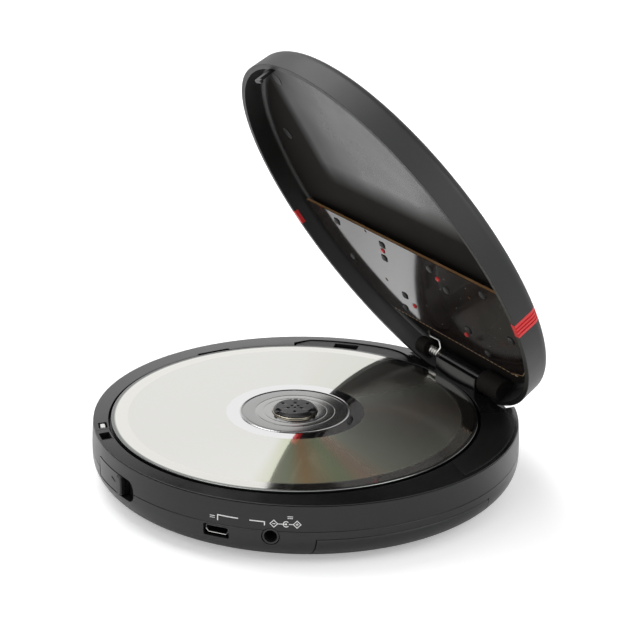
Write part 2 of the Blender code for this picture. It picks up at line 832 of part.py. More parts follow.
def make_top_deck():
    top = seam_height + seam_gap / 2
    wall_inner = wall_radius(top) - deck_wall_thickness
    rebate_radius = inner_radius + lip_thickness + joint_gap
    rebate_top = top + lip_height + joint_gap
    groove = rim - rim_groove_drop
    profile = [
        (0, rim), (case_radius - rim_groove_height, rim), (case_radius, rim - rim_groove_height),
        (case_radius, groove + rim_groove_height / 2), (case_radius - rim_groove_depth, groove),
        (wall_radius(groove - rim_groove_height / 2), groove - rim_groove_height / 2),
        (wall_radius(top), top), (rebate_radius, top), (rebate_radius, rebate_top),
        (wall_inner, rebate_top), (wall_inner, deck_underside), (0, deck_underside),
    ]
    deck = keep(turned(profile, closed=False), "top_deck", "case_black")

    trough_low = hinge_level - lid_sweep() - notch_clearance - trough_floor
    trough = block((-notch_half_width - trough_wall, notch_front - trough_wall, trough_low),
                   (notch_half_width + trough_wall, wall_inner - joint_gap, deck_underside + joint_gap))
    trough_solid = keep(trough, "trough_solid", None, cutter=True)
    trough_bounds = keep(turned([(0, 0), (wall_inner + joint_gap, 0), (wall_inner + joint_gap, rim),
                                 (0, rim)],
                                closed=False), "trough_bounds", None, cutter=True)
    combine(trough_solid, trough_bounds, "INTERSECT")
    join(deck, trough_solid)

    cut(deck, keep(well_cutter(), "disc_well", None, cutter=True))
    notch = block((-notch_half_width, notch_front, trough_low + trough_floor),
                  (notch_half_width, case_radius + 2 * overrun, rim + overrun))
    cut(deck, keep(notch, "lid_notch", None, cutter=True))

    mouth = rod((0, -disc_offset, deck_underside - overrun), (0, -disc_offset, rim),
                turntable_radius + 2 * overrun,
                part_segments * 2)
    cut(deck, keep(mouth, "turntable_mouth", None, cutter=True))
    track_end = sled_inner_track + sled_travel + lens_block_radius + overrun
    slot = block((-track_end, -disc_offset - lens_slot_half_width, deck_underside - overrun),
                 (0, -disc_offset + lens_slot_half_width, rim))
    cut(deck, keep(slot, "lens_slot", None, cutter=True))

    latch_half = latch_hole_length / 2
    latch_hole = prism(radial_outline(latch_bearing, latch_hole_reach - latch_half,
                                      latch_hole_reach + latch_half,
                                      latch_hole_width), deck_underside - overrun, rim + overrun)
    cut(deck, keep(latch_hole, "latch_hole", None, cutter=True))
    peg_half = peg_hole_length / 2
    peg_hole = prism(radial_outline(peg_bearing, peg_hole_reach - peg_half, peg_hole_reach + peg_half,
                                    peg_hole_width), deck_underside - overrun, rim + overrun)
    cut(deck, keep(peg_hole, "peg_hole", None, cutter=True))

    for name, edge, gap in trims():
        seat = prism(trim_outline(edge, gap), rim - trim_thickness - joint_gap, rim + overrun)
        cut(deck, keep(seat, name + "_seat", None, cutter=True))

    for number, (x, y) in enumerate(screw_places()):
        boss = rod((x, y, screw_boss_low), (x, y, deck_underside + joint_gap), screw_boss_radius,
                   pin_segments)
        join(deck, keep(boss, f"deck_boss_{number}", None, cutter=True))
        hole = rod((x, y, screw_boss_low - overrun), (x, y, screw_length + overrun),
                   screw_shank_radius + joint_gap, pin_segments)
        cut(deck, keep(hole, f"boss_hole_{number}", None, cutter=True))

    stem = block((-block_left + stem_side_step, stem_front, hinge_level - hinge_rise - stem_foot_drop),
                 (block_right - stem_side_step, stem_rear, rim + stem_top_rise))
    barrel = rod((-block_left, hinge_back, hinge_level), (block_right, hinge_back, hinge_level),
                 barrel_radius,
                 part_segments)
    join(deck, keep(stem, "hinge_stem", None, cutter=True), keep(barrel, "hinge_barrel", None, cutter=True))
    for side, face in ((-1, -block_left), (1, block_right)):
        hole = rod((face + side * overrun, hinge_back, hinge_level),
                   (face - side * (pin_in_block + joint_gap), hinge_back, hinge_level),
                   hinge_pin_radius + joint_gap, pin_segments)
        cut(deck, keep(hole, f"pin_hole_{side}", None, cutter=True))
    return deck


def lid_sweep():
    return math.hypot(lid_radius - hinge_back, hinge_level - lid_rim)


def well_cutter():
    floor = disc_radius + well_clearance
    mouth = floor + well_slope_width
    slope = [(floor + well_slope_width * share, well_floor + well_depth * share ** 2) for share in (0.5, 1)]
    profile = [(0, well_floor), (floor, well_floor)] + slope + [(mouth, rim + overrun), (0, rim + overrun)]
    return turned(profile, centre=(0, -disc_offset), closed=False)


def trims():
    return (("hinge_trim_left", trim_left_edge, trim_left_gap),
            ("hinge_trim_right", trim_right_edge, trim_right_gap))


# From the well's mouth out to a measured edge; a grown outline is the trim's seat
def trim_outline(edge, grow):
    mouth = disc_radius + well_clearance + well_slope_width - grow
    first, last = edge[0][1], edge[-1][1]
    outer, inner = [], []
    for inset, bearing in edge:
        radius = case_radius - inset
        spread = grow / radius * (bearing == last) - grow / radius * (bearing == first)
        x, y = polar(radius + grow, bearing + spread)
        outer.append((x, y))
        turn = bearing + spread
        if bearing == trim_right_edge[0][1]:
            turn = trim_seam_inner + spread
        inner_x, inner_y = polar(radius + grow, turn)
        direction = math.atan2(inner_y + disc_offset, inner_x)
        reach = min(mouth, math.hypot(x, y + disc_offset) - trim_tip_width - 2 * grow)
        inner.append((reach * math.cos(direction), reach * math.sin(direction) - disc_offset))
    return outer + inner[::-1]


def make_trims():
    made = {}
    for name, edge, gap in trims():
        made[name] = keep(prism(trim_outline(edge, 0), rim - trim_thickness, rim), name, "case_black")
    notch = prism(radial_outline(trim_notch_bearing, disc_radius - 2 * overrun,
                                 case_radius - trim_notch_inset, trim_notch_width),
                  rim - trim_thickness - overrun, rim + overrun)
    cut(made["hinge_trim_left"], keep(notch, "trim_notch", None, cutter=True))


def cut_wall_openings(cover, deck):
    slider_window = keep(wall_patch(slider_columns(slider_left, slider_right, 0),
                                    inner_radius - 2 * overrun,
                                    case_radius + 2 * overrun), "slider_window", None, cutter=True)
    usb_window = keep(prism(radial_outline(usb_bearing, inner_radius - 2 * overrun,
                                           case_radius + 2 * overrun,
                                           usb_recess_width), usb_level - usb_recess_height / 2,
                            usb_level + usb_recess_height / 2), "usb_window", None, cutter=True)
    jack_hole = keep(radial_rod(jack_bearing, jack_level, inner_radius - 2 * overrun,
                                case_radius + 2 * overrun,
                                jack_radius + joint_gap), "jack_hole", None, cutter=True)
    phones_hole = keep(radial_rod(phones_bearing, jack_level, inner_radius - 2 * overrun,
                                  case_radius + 2 * overrun,
                                  jack_radius + joint_gap), "phones_hole", None, cutter=True)
    cut(cover, slider_window, usb_window, jack_hole, phones_hole)
    cut(deck, slider_window, jack_hole, phones_hole)


def radial_rod(bearing, level, near, far, radius, segments=part_segments):
    return rod((*polar(near, bearing), level), (*polar(far, bearing), level), radius, segments)


def make_sockets():
    far = wall_radius(usb_level) - usb_setback
    near = far - usb_length
    outline = [(-usb_width / 2, usb_height / 2), (-usb_width / 2, 0),
               (-usb_foot_width / 2, -usb_height / 2),
               (usb_foot_width / 2, -usb_height / 2), (usb_width / 2, 0), (usb_width / 2, usb_height / 2)]
    inner_share_x = 1 - 2 * usb_wall / usb_width
    inner_share_z = 1 - 2 * usb_wall / usb_height
    shell = keep(socket_prism(outline, usb_bearing, usb_level, near, far), "usb_socket", "bright_steel")
    hollow = [(x * inner_share_x, z * inner_share_z) for x, z in outline]
    cut(shell, keep(socket_prism(hollow, usb_bearing, usb_level, near + usb_wall, far + overrun),
                    "usb_hollow", None,
                    cutter=True))
    tongue_half = usb_foot_width / 2 - 2 * usb_wall
    tongue = [(-tongue_half, usb_tongue), (-tongue_half, 0), (tongue_half, 0), (tongue_half, usb_tongue)]
    join(shell, keep(socket_prism(tongue, usb_bearing, usb_level, near + usb_wall / 2, far - usb_setback),
                     "usb_tongue", None, cutter=True))
    make_jack("dc_jack", jack_bearing, jack_bore, jack_pin_radius)
    make_jack("phones_jack", phones_bearing, phones_bore, None)


def socket_prism(outline, bearing, level, near, far):
    bm = prism(outline, near, far)
    turn = Matrix(((0, 0, 1, 0), (1, 0, 0, 0), (0, 1, 0, 0), (0, 0, 0, 1)))
    place = Matrix.Translation((0, 0, level)) @ Matrix.Rotation(bearing, 4, "Z") @ turn
    bmesh.ops.transform(bm, matrix=place, verts=bm.verts)
    return bm


def make_jack(name, bearing, bore, pin):
    far = wall_radius(jack_level) - joint_gap
    face = far - jack_barrel_length
    near = far - jack_length
    body = keep(prism(radial_outline(bearing, near, face, 2 * jack_body_half_width), jack_body_low,
                      jack_body_high),
                name, "case_black")
    join(body, keep(radial_rod(bearing, jack_level, face - overrun, far, jack_radius), name + "_barrel",
                    None,
                    cutter=True))
    cut(body, keep(radial_rod(bearing, jack_level, near + 2 * overrun, far + overrun, bore, pin_segments),
                   name + "_bore", None, cutter=True))
    if pin:
        join(body, keep(radial_rod(bearing, jack_level, near + overrun, far - overrun, pin, pin_segments),
                        name + "_pin", None, cutter=True))


# The slider's window: a small round at its left end, a large one and a small one at its right
def slider_columns(left, right, shrink):
    low, high = slider_low + shrink, slider_high - shrink
    left_turn = slider_left_round / case_radius
    right_turn = slider_high_round / case_radius
    bearings = [left + left_turn * share for share in rounding_shares]
    bearings += [left + left_turn + (right - right_turn - left - left_turn) * step / 4 for step in range(1,
                                                                                                         4)]
    bearings += [right - right_turn * share for share in rounding_shares[::-1]]
    columns = []
    for bearing in bearings:
        from_left = (bearing - left) * case_radius
        from_right = (right - bearing) * case_radius
        rise = max(round_drop(from_left, slider_left_round), round_drop(from_right, slider_low_round))
        drop = max(round_drop(from_left, slider_left_round), round_drop(from_right, slider_high_round))
        columns.append((bearing, low + rise, high - drop))
    return columns


# How far a rounded corner has come in at a distance from the end
def round_drop(distance, radius):
    inside = max(radius - distance, 0)
    return radius - math.sqrt(max(radius ** 2 - inside ** 2, 0))


def make_open_slider():
    hub = axis("open_slider_axis", (0, 0, 0))
    gap_angle = joint_gap / case_radius
    backing_far = inner_radius - 2 * joint_gap
    backing_near = backing_far - slider_backing_thickness
    backing = keep(prism(sector(backing_near, backing_far, slider_backing_left, slider_backing_right),
                         slider_backing_low, slider_backing_high), "open_slider", "case_black", hub)
    cap_far = wall_radius(slider_low) - joint_gap
    low, high = slider_low + joint_gap, slider_high - joint_gap
    columns = [column for column in slider_columns(slider_left + gap_angle, slider_right, joint_gap)
               if column[0] < slider_cap_end]
    columns.append((slider_cap_end, low, high))
    join(backing, keep(wall_patch(columns, backing_far - joint_gap, cap_far), "slider_cap", None, hub,
                       cutter=True))
    start = slider_cap_end - slider_grip_width / case_radius
    grip_columns = [(start + (slider_cap_end - start) * step / 4, low, high) for step in range(5)]
    grip = wall_patch(grip_columns, cap_far - joint_gap, cap_far + joint_gap)
    for vert in grip.verts:
        if vert.co.xy.length > cap_far:
            share = (math.atan2(vert.co.y, vert.co.x) - start) / (slider_cap_end - start)
            lift = slider_grip_rise * math.sin(math.pi * min(max(share, 0), 1)) ** grip_roundness_share
            vert.co.xy = vert.co.xy.normalized() * (cap_far + joint_gap / 4 + lift)
    join(backing, keep(grip, "slider_grip", None, hub, cutter=True))
    nose_high = deck_underside - joint_gap
    catch_outer = backing_far - joint_gap
    catch = prism(sector(backing_near, catch_outer, catch_left + 3 * gap_angle, catch_right, 4),
                  slider_backing_high - joint_gap, nose_high - joint_gap)
    nose = prism(sector(backing_near + joint_gap / 2, catch_outer - joint_gap / 2, catch_left, catch_right,
                        4),
                 nose_high - catch_nose_height, nose_high)
    join(backing, keep(catch, "catch_arm", None, hub, cutter=True),
         keep(nose, "catch_nose", None, hub, cutter=True))


def make_lid_switch():
    place = polar(peg_hole_reach, peg_bearing)
    hub = axis("lid_switch_axis", (*place, rim))
    half = peg_tip_length / 2
    top = rim - peg_tip_drop
    peg = prism(radial_outline(peg_bearing, peg_hole_reach - half, peg_hole_reach + half, peg_tip_width),
                top - switch_length, top)
    keep(peg, "lid_switch_peg", "peg_white", hub)


def make_spindle():
    hub = axis("spindle_axis", (0, -disc_offset, 0))
    centre = (0, -disc_offset)
    flange_top = disc_bottom - joint_gap
    flange_low = flange_top - turntable_thickness
    hub_low = flange_low - turntable_hub_height
    boss_top = rim + cap_rise - cap_roof - joint_gap
    bore = shaft_radius + joint_gap
    keep(turned([(bore, hub_low), (turntable_hub_radius, hub_low), (turntable_hub_radius, flange_low),
                 (turntable_radius, flange_low), (turntable_radius, flange_top), (boss_radius, flange_top),
                 (boss_radius, boss_top), (bore, boss_top)], part_segments * 2, centre),
         "turntable", "case_black", hub)

    cap_top = rim + cap_rise
    cap_low = flange_top + joint_gap
    cavity = boss_radius + joint_gap
    cap = keep(turned([(0, cap_top), (cap_radius - cap_chamfer, cap_top),
                       (cap_radius, cap_top - cap_chamfer),
                       (cap_radius, cap_low), (cavity, cap_low), (cavity, cap_top - cap_roof),
                       (0, cap_top - cap_roof)], part_segments * 2, centre, closed=False),
               "hub_cap", "gloss_black", hub)
    finger_low = disc_top + joint_gap
    for number in range(finger_count):
        bearing = -math.pi / 2 + number * math.tau / finger_count
        outline = radial_outline(bearing, cap_radius - finger_reach, cap_radius + finger_reach,
                                 finger_width)
        finger = prism([(x, y - disc_offset) for x, y in outline], finger_low, finger_low + finger_height)
        join(cap, keep(finger, f"cap_finger_{number}", None, hub, cutter=True))
        for ring, share in enumerate(cap_hole_ring_shares):
            turn = bearing if ring == 1 else bearing + math.pi / finger_count
            x, y = polar(cap_radius * share, turn)
            hole = rod((x, y - disc_offset, cap_top - cap_roof - overrun),
                       (x, y - disc_offset, cap_top + overrun),
                       cap_hole_radius, 8)
            cut(cap, keep(hole, f"cap_hole_{number}_{ring}", None, hub, cutter=True))

    ring_low = stack_ring_radius - stack_ring_width / 2
    ring_high = stack_ring_radius + stack_ring_width / 2
    edge = disc_thickness / 6
    keep(turned([(disc_hole_radius, disc_bottom), (ring_low, disc_bottom),
                 (disc_radius - edge, disc_bottom), (disc_radius, disc_bottom + edge),
                 (disc_radius, disc_top - edge),
                 (disc_radius - edge, disc_top), (ring_high, disc_top),
                 (stack_ring_radius, disc_top + stack_ring_height), (ring_low, disc_top),
                 (disc_hole_radius, disc_top)], ring_segments, centre), "compact_disc", "disc_mirror", hub)


def make_mechanism():
    low = chassis_top - chassis_thickness
    left, right = -chassis_left, chassis_right
    front = -disc_offset - chassis_half_width
    rear = -disc_offset + chassis_half_width
    outer_tab = -sled_inner_track - sled_travel - sled_outer_reach - 2 * joint_gap - tab_thickness
    inner_tab = -sled_inner_track + sled_inner_reach + 2 * joint_gap
    corners = []
    for x, y, start in ((right, rear, 0), (left, rear, 1), (left, front, 2), (right, front, 3)):
        centre = (x - math.copysign(chassis_corner, x),
                  (y - chassis_corner) if y == rear else (y + chassis_corner))
        corners += arc(chassis_corner, start * math.pi / 2, (start + 1) * math.pi / 2, 3, centre)
        if start == 1:
            for middle in (-disc_offset + rod_offset, -disc_offset - rod_offset):
                high, foot = middle + tab_half_width + joint_gap, middle - tab_half_width - joint_gap
                reach = outer_tab - joint_gap
                corners += [(left, high), (reach, high), (reach, foot), (left, foot)]
    chassis = keep(prism(corners, low, chassis_top), "mech_chassis", "dark_steel")
    window_left = sled_inner_track + sled_travel + sled_outer_reach - joint_gap
    window = block((-window_left, -disc_offset - pickup_window_half_width, low - overrun),
                   (-spindle_motor_radius - joint_gap, -disc_offset + pickup_window_half_width,
                    chassis_top + overrun))
    shaft_hole = rod((0, -disc_offset, low - overrun), (0, -disc_offset, chassis_top + overrun),
                     turntable_hub_radius, part_segments)
    gear_hole = rod((-gear_column, gear_line, low - overrun),
                    (-gear_column, gear_line, chassis_top + overrun),
                    pinion_radius - gear_module, pin_segments)
    cut(chassis, keep(window, "pickup_window", None, cutter=True),
        keep(shaft_hole, "shaft_hole", None, cutter=True),
        keep(gear_hole, "gear_hole", None, cutter=True))
    for number, side in enumerate((-1, 1)):
        y = -disc_offset + side * rod_offset
        for end, x in enumerate((outer_tab, inner_tab)):
            tab = block((x, y - tab_half_width, chassis_top - chassis_thickness / 2),
                        (x + tab_thickness, y + tab_half_width, chassis_top + tab_rise))
            join(chassis, keep(tab, f"rod_tab_{number}_{end}", None, cutter=True))
        bore = rod((outer_tab - overrun, y, rod_height),
                   (inner_tab + tab_thickness + overrun, y, rod_height),
                   rod_radius + joint_gap, pin_segments)
        cut(chassis, keep(bore, f"rod_seat_{number}", None, cutter=True))
        keep(rod((outer_tab, y, rod_height), (inner_tab + tab_thickness, y, rod_height), rod_radius,
                 pin_segments),
             ("guide_rod_front", "guide_rod_rear")[number], "bright_steel")

    motor_top = low - joint_gap
    motor = keep(rod((0, -disc_offset, motor_top - spindle_motor_height), (0, -disc_offset, motor_top),
                     spindle_motor_radius, part_segments), "spindle_motor", "dark_steel")
    shaft_end = rim + cap_rise - cap_roof - 2 * joint_gap
    join(motor, keep(rod((0, -disc_offset, motor_top - overrun), (0, -disc_offset, shaft_end), shaft_radius,
                         pin_segments), "spindle_shaft", None, cutter=True))
    make_sled()
    make_gears()


def make_sled():
    hub = axis("pickup_slide_axis", (-sled_inner_track, -disc_offset, rod_height))
    low = chassis_top + joint_gap
    left = -sled_inner_track - sled_outer_reach
    right = -sled_inner_track + sled_inner_reach
    sled = keep(block((left, -disc_offset - sled_half_width, low),
                      (right, -disc_offset + sled_half_width, low + sled_height)), "pickup_sled",
                      "case_black", hub)
    for number, side in enumerate((-1, 1)):
        y = -disc_offset + side * rod_offset
        bore = rod((left - overrun, y, rod_height), (right + overrun, y, rod_height),
                   rod_radius + joint_gap,
                   pin_segments)
        cut(sled, keep(bore, f"sled_bore_{number}", None, hub, cutter=True))
    drop = block((left + overrun, -disc_offset - sled_drop_half_width, low - sled_drop),
                 (left + 2 * sled_outer_reach + overrun, -disc_offset + sled_drop_half_width,
                  low + joint_gap))
    join(sled, keep(drop, "laser_block", None, hub, cutter=True))
    lens_low = low + sled_height
    lens_top = disc_bottom - 4 * joint_gap
    lens_x = -sled_inner_track
    tower = rod((lens_x, -disc_offset, lens_low - overrun), (lens_x, -disc_offset, lens_top - lens_rise),
                lens_block_radius, part_segments)
    join(sled, keep(tower, "lens_tower", None, hub, cutter=True))
    seat = rod((lens_x, -disc_offset, lens_top - 2 * lens_rise - joint_gap),
               (lens_x, -disc_offset, lens_top + overrun),
               lens_radius + joint_gap, pin_segments)
    cut(sled, keep(seat, "lens_seat", None, hub, cutter=True))
    keep(turned([(0, lens_top - 2 * lens_rise), (lens_radius, lens_top - 2 * lens_rise),
                 (lens_radius, lens_top - lens_rise), (lens_radius / 2, lens_top), (0, lens_top)],
                 part_segments,
                (lens_x, -disc_offset), closed=False), "pickup_lens", "lens_glass", hub)
    keep(prism(rack_outline(), rack_low, rack_low + pinion_height), "sled_rack", "gear_plastic", hub)


def tooth_shape(pitch, height_up, height_down):
    half = pitch * tooth_thickness_share / 2
    tip = half * tooth_tip_share
    root = half + (half - tip) * height_down / height_up
    return root, half, tip


# The rack's teeth point to the front; a tooth gap faces the pinion at rest
def rack_outline():
    pitch = math.pi * gear_module
    up = gear_module * tooth_addendum_share
    down = gear_module * tooth_dedendum_share
    root, half, tip = tooth_shape(pitch, up, down)
    back = -disc_offset - sled_half_width - joint_gap
    first = -gear_column - pitch / 2 - pitch
    points = [(first - pitch / 2, back)]
    points.append((first - pitch / 2, rack_line + down))
    for tooth in range(rack_teeth):
        x = first + tooth * pitch
        points += [(x - root, rack_line + down), (x - tip, rack_line - up), (x + tip, rack_line - up),
                   (x + root, rack_line + down)]
    last = first + (rack_teeth - 1) * pitch + pitch / 2
    points += [(last, rack_line + down), (last, back)]
    return points


def gear_outline(teeth, centre, phase):
    pitch_angle = math.tau / teeth
    radius = gear_module * teeth / 2
    up = gear_module * tooth_addendum_share
    down = gear_module * tooth_dedendum_share
    half = tooth_thickness_share * pitch_angle / 2
    tip = half * tooth_tip_share
    root = pitch_angle / 2 - (pitch_angle / 2 - half) * tooth_tip_share
    points = []
    for tooth in range(teeth):
        middle = phase + tooth * pitch_angle
        for reach, turn in ((radius - down, -root), (radius, -half), (radius + up, -tip),
                            (radius + up, tip), (radius, half), (radius - down, root)):
            x, y = polar(reach, middle + turn)
            points.append((centre[0] + x, centre[1] + y))
    return points


def motor_place():
    reach = wheel_radius + motor_pinion_radius + mesh_clearance
    x, y = polar(reach, -sled_motor_bearing)
    return (-gear_column + x, gear_line + y)


def make_gears():
    centre = (-gear_column, gear_line)
    hub = axis("drive_gear_axis", (*centre, wheel_base))
    wheel_top = wheel_base + wheel_height
    wheel = keep(prism(gear_outline(wheel_teeth, centre, -sled_motor_bearing), wheel_base, wheel_top),
                 "drive_gear",
                 "gear_plastic", hub)
    neck = rod((*centre, wheel_top - joint_gap), (*centre, rack_low + joint_gap),
               pinion_radius - 2 * gear_module,
               pin_segments)
    pinion = prism(gear_outline(pinion_teeth, centre, math.pi / 2), rack_low, rack_low + pinion_height)
    join(wheel, keep(neck, "gear_neck", None, hub, cutter=True),
         keep(pinion, "rack_pinion", None, hub, cutter=True))
    bore = rod((*centre, wheel_base - overrun), (*centre, rack_low + pinion_height + overrun), gear_bore,
               pin_segments)
    cut(wheel, keep(bore, "gear_bore", None, hub, cutter=True))

    place = motor_place()
    motor_axis = axis("motor_pinion_axis", (*place, wheel_base))
    half_tooth = math.pi / motor_pinion_teeth
    pinion_gear = keep(prism(gear_outline(motor_pinion_teeth, place,
                                          math.pi - sled_motor_bearing + half_tooth),
                             wheel_base, wheel_top), "motor_pinion", "gear_plastic", motor_axis)
    cut(pinion_gear, keep(rod((*place, wheel_base - overrun), (*place, wheel_top + overrun),
                              gear_bore, pin_segments), "pinion_bore", None, motor_axis, cutter=True))
    motor_top = wheel_base - 2 * joint_gap
    motor = keep(rod((*place, floor_thickness + joint_gap), (*place, motor_top), sled_motor_radius,
                     part_segments),
                 "sled_motor", "dark_steel")
    join(motor, keep(rod((*place, motor_top - overrun), (*place, wheel_top), gear_post_radius,
                         pin_segments),
                     "sled_motor_shaft", None, cutter=True))


def make_base_boards():
    low = base_board_level
    high = low + base_board_thickness
    outline = arc(base_board_radius, main_board_start, main_board_end, 8)
    outline += [(polar(base_board_radius, main_board_end)[0] - overrun, -main_board_front),
                (polar(base_board_radius, main_board_start)[0], -main_board_front)]
    main = keep(prism(outline, low, high), "main_board", "board_green")
    chip_at = (polar(base_board_radius, usb_bearing)[0] - main_chip_usb_gap,
               -main_board_front - main_chip_margin)
    join(main, keep(block((chip_at[0] - chip_size / 2, chip_at[1] - chip_size / 2, high - joint_gap),
                          (chip_at[0] + chip_size / 2, chip_at[1] + chip_size / 2, high + chip_height)),
                    "main_chip", None, cutter=True))
    servo_outline = arc(base_board_radius, servo_board_start, servo_board_end, 10)
    servo_outline += [(servo_outline[-1][0], servo_board_front), (servo_board_side, servo_board_front)]
    servo = keep(prism(servo_outline, low, high), "servo_board", "board_green")
    for number, x in enumerate(servo_chip_sides):
        y = servo_board_front + servo_chip_margin
        join(servo, keep(block((x - chip_size / 2, y - chip_size / 2, high - joint_gap),
                               (x + chip_size / 2, y + chip_size / 2, high + chip_height)),
                               f"servo_chip_{number}",
                         None, cutter=True))
    for number, (x, y) in enumerate(screw_places()):
        hole = keep(rod((x, y, low - overrun), (x, y, high + chip_height + overrun),
                        screw_boss_radius + joint_gap, pin_segments),
                    f"board_hole_{number}", None, cutter=True)
        if y < 0 < x:
            cut(main, hole)
        if y > 0:
            cut(servo, hole)


def make_feet_and_screws():
    for number, (x, y) in enumerate(foot_places()):
        keep(turned([(0, foot_recess), (foot_radius, foot_recess), (foot_radius, foot_round - foot_drop),
                     (foot_radius - foot_round, -foot_drop), (0, -foot_drop)], part_segments, (x, y),
                     closed=False),
             f"rubber_foot_{number + 1}", "foot_rubber")
    for number, (x, y) in enumerate(screw_places()):
        head_top = screw_head_height
        screw = keep(turned([(0, 0), (screw_head_radius, 0), (screw_head_radius, head_top),
                             (screw_shank_radius, head_top), (screw_shank_radius, screw_length),
                             (0, screw_length)],
                            pin_segments, (x, y), closed=False), f"case_screw_{number + 1}", "dark_steel")
        for turn, name in ((0, "a"), (1, "b")):
            reach = screw_head_radius * slot_reach_share
            half = Vector((reach, slot_width / 2) if turn == 0 else (slot_width / 2, reach))
            slot = block((x - half.x, y - half.y, -overrun), (x + half.x, y + half.y, slot_depth))
            cut(screw, keep(slot, f"screw_slot_{number}_{name}", None, cutter=True))


def lid_outer_profile(grow=0):
    points = [(lid_radius + grow, lid_rim), (lid_top_radius + grow, lid_wall_top)]
    for step in range(1, lid_corner_steps + 1):
        turn = lid_corner_sweep * step / lid_corner_steps
        reach = lid_corner_radius + grow
        points.append((lid_top_radius - lid_corner_radius + reach * math.cos(turn),
                       lid_wall_top + reach * math.sin(turn)))
    edge_radius, edge_height = points[-1]
    for step in range(1, lid_dome_steps + 1):
        share = 1 - step / lid_dome_steps
        points.append((edge_radius * share, edge_height + lid_dome_rise * (1 - share ** 2)))
    return points


def lid_top_height(reach):
    return dome_edge + lid_dome_rise * (1 - (reach / dome_radius) ** 2)


def make_lid(lid_axis):
    inner_rim = lid_radius - lid_wall_thickness
    inner_top = lid_top_radius - lid_wall_thickness
    inner_edge = dome_radius - lid_wall_thickness
    edge_height = dome_edge - lid_top_thickness
    corner_drop = lid_corner_radius - lid_wall_thickness
    inner = [(inner_rim, lid_rim), (inner_top, lid_wall_top - corner_drop / 2),
             (inner_top - corner_drop / 2, edge_height - corner_drop / 4), (inner_edge, edge_height)]
    for step in range(1, lid_dome_steps - 1):
        share = 1 - step / (lid_dome_steps - 2)
        inner.append((inner_edge * share, edge_height + lid_dome_rise * (1 - share ** 2)))
    profile = lid_outer_profile()[::-1] + inner
    lid = keep(turned(profile, closed=False), "lid_shell", "gloss_black", lid_axis)

    for number, (x_share, y_share) in enumerate(boss_place_shares):
        for side in (-1, 1):
            x = side * x_share * board_radius
            y = y_share * board_radius
            boss = rod((x, y, board_top + joint_gap), (x, y, lid_inner_top), lid_boss_radius, 8)
            join(lid, keep(boss, f"lid_boss_{number}_{side}", None, lid_axis, cutter=True))

    right_start = block_right + knuckle_gap
    left_start = -left_knuckle_start
    knuckles = (("right", right_start, right_start + right_knuckle_width, right_knuckle_radius),
                ("left", left_start - left_knuckle_width, left_start, left_knuckle_radius))
    bound = keep(turned([(0, rim - lid_sweep()), (inner_rim + joint_gap, rim - lid_sweep()),
                         (inner_top + joint_gap, lid_wall_top), (0, lid_wall_top)], closed=False),
                 "knuckle_bounds", None, lid_axis, cutter=True)
    for side, start, end, radius in knuckles:
        knuckle = keep(rod((start, hinge_back, hinge_level), (end, hinge_back, hinge_level), radius,
                           part_segments),
                       f"knuckle_{side}", None, lid_axis, cutter=True)
        arm = keep(block((start, hinge_back, hinge_level - radius / 2),
                         (end, lid_radius, hinge_level + radius / 2)), f"knuckle_arm_{side}", None,
                         lid_axis,
                   cutter=True)
        combine(arm, bound, "INTERSECT")
        join(lid, knuckle, arm)
    pin_hole = rod((left_start - left_knuckle_width * pin_hole_share, hinge_back, hinge_level),
                   (right_start + right_knuckle_width * pin_hole_share, hinge_back, hinge_level),
                   hinge_pin_radius + joint_gap, pin_segments)
    cut(lid, keep(pin_hole, "knuckle_pin_hole", None, lid_axis, cutter=True))

    half = (hook_stem_width + hook_claw_width) / 2
    pocket = prism(latch_outline(-half, hook_stem_width - half, joint_gap), lid_rim - overrun,
                   lid_rim + hook_top + joint_gap)
    cut(lid, keep(pocket, "hook_pocket", None, lid_axis, cutter=True))
    cut(lid, *band_cutter(lid_axis))
    window_half = Vector((window_width / 2 + frame_width + joint_gap,
                          window_length / 2 + frame_width + joint_gap))
    window_hole = block((-window_half.x, window_back - window_half.y, lid_inner_top - 2 * overrun),
                        (window_half.x, window_back + window_half.y, lid_inner_top + 4 * overrun))
    cut(lid, keep(window_hole, "window_hole", None, lid_axis, cutter=True))
    for name, x, y, radius in buttons():
        hole = rod((x, y, lid_inner_top - 2 * overrun), (x, y, lid_inner_top + 4 * overrun),
                   radius + joint_gap,
                   part_segments)
        cut(lid, keep(hole, name + "_hole", None, lid_axis, cutter=True))
    return lid


def buttons():
    return (
        ("play_button", 0, play_back, play_radius),
        ("skip_back_button", -skip_side, skip_back, skip_radius),
        ("skip_forward_button", skip_side, skip_back, skip_radius),
        ("stop_button", -stop_side, stop_back, skip_radius),
        ("mode_button", stop_side, stop_back, skip_radius),
        ("volume_down_button", -volume_side, volume_back, volume_radius),
        ("volume_up_button", volume_side, volume_back, volume_radius),
    )


# A skin that follows the lid's wall and top, cut to a strip
def band_skin(name, finish, lid_axis, grow, depth, front, rear, cutter):
    outer = lid_outer_profile(grow)
    inner = lid_outer_profile(grow - depth)
    skin = keep(turned(outer[::-1] + inner, closed=False), name, finish, lid_axis, cutter=cutter)
    strip = block((-lid_radius - overrun, front, lid_rim - overrun),
                  (lid_radius + overrun, rear, lid_rim + lid_radius))
    combine(skin, keep(strip, name + "_strip", None, lid_axis, cutter=True), "INTERSECT")
    return skin


def band_cutter(lid_axis):
    front, rear = band_front - joint_gap, band_front + band_width + joint_gap
    seat = band_skin("band_seat", None, lid_axis, overrun, overrun + band_depth + joint_gap, front, rear,
                     True)
    foot = band_foot("band_foot_seat", lid_axis, overrun, 2 * overrun + lid_wall_thickness, front, rear,
                     band_foot_height + joint_gap)
    return seat, foot


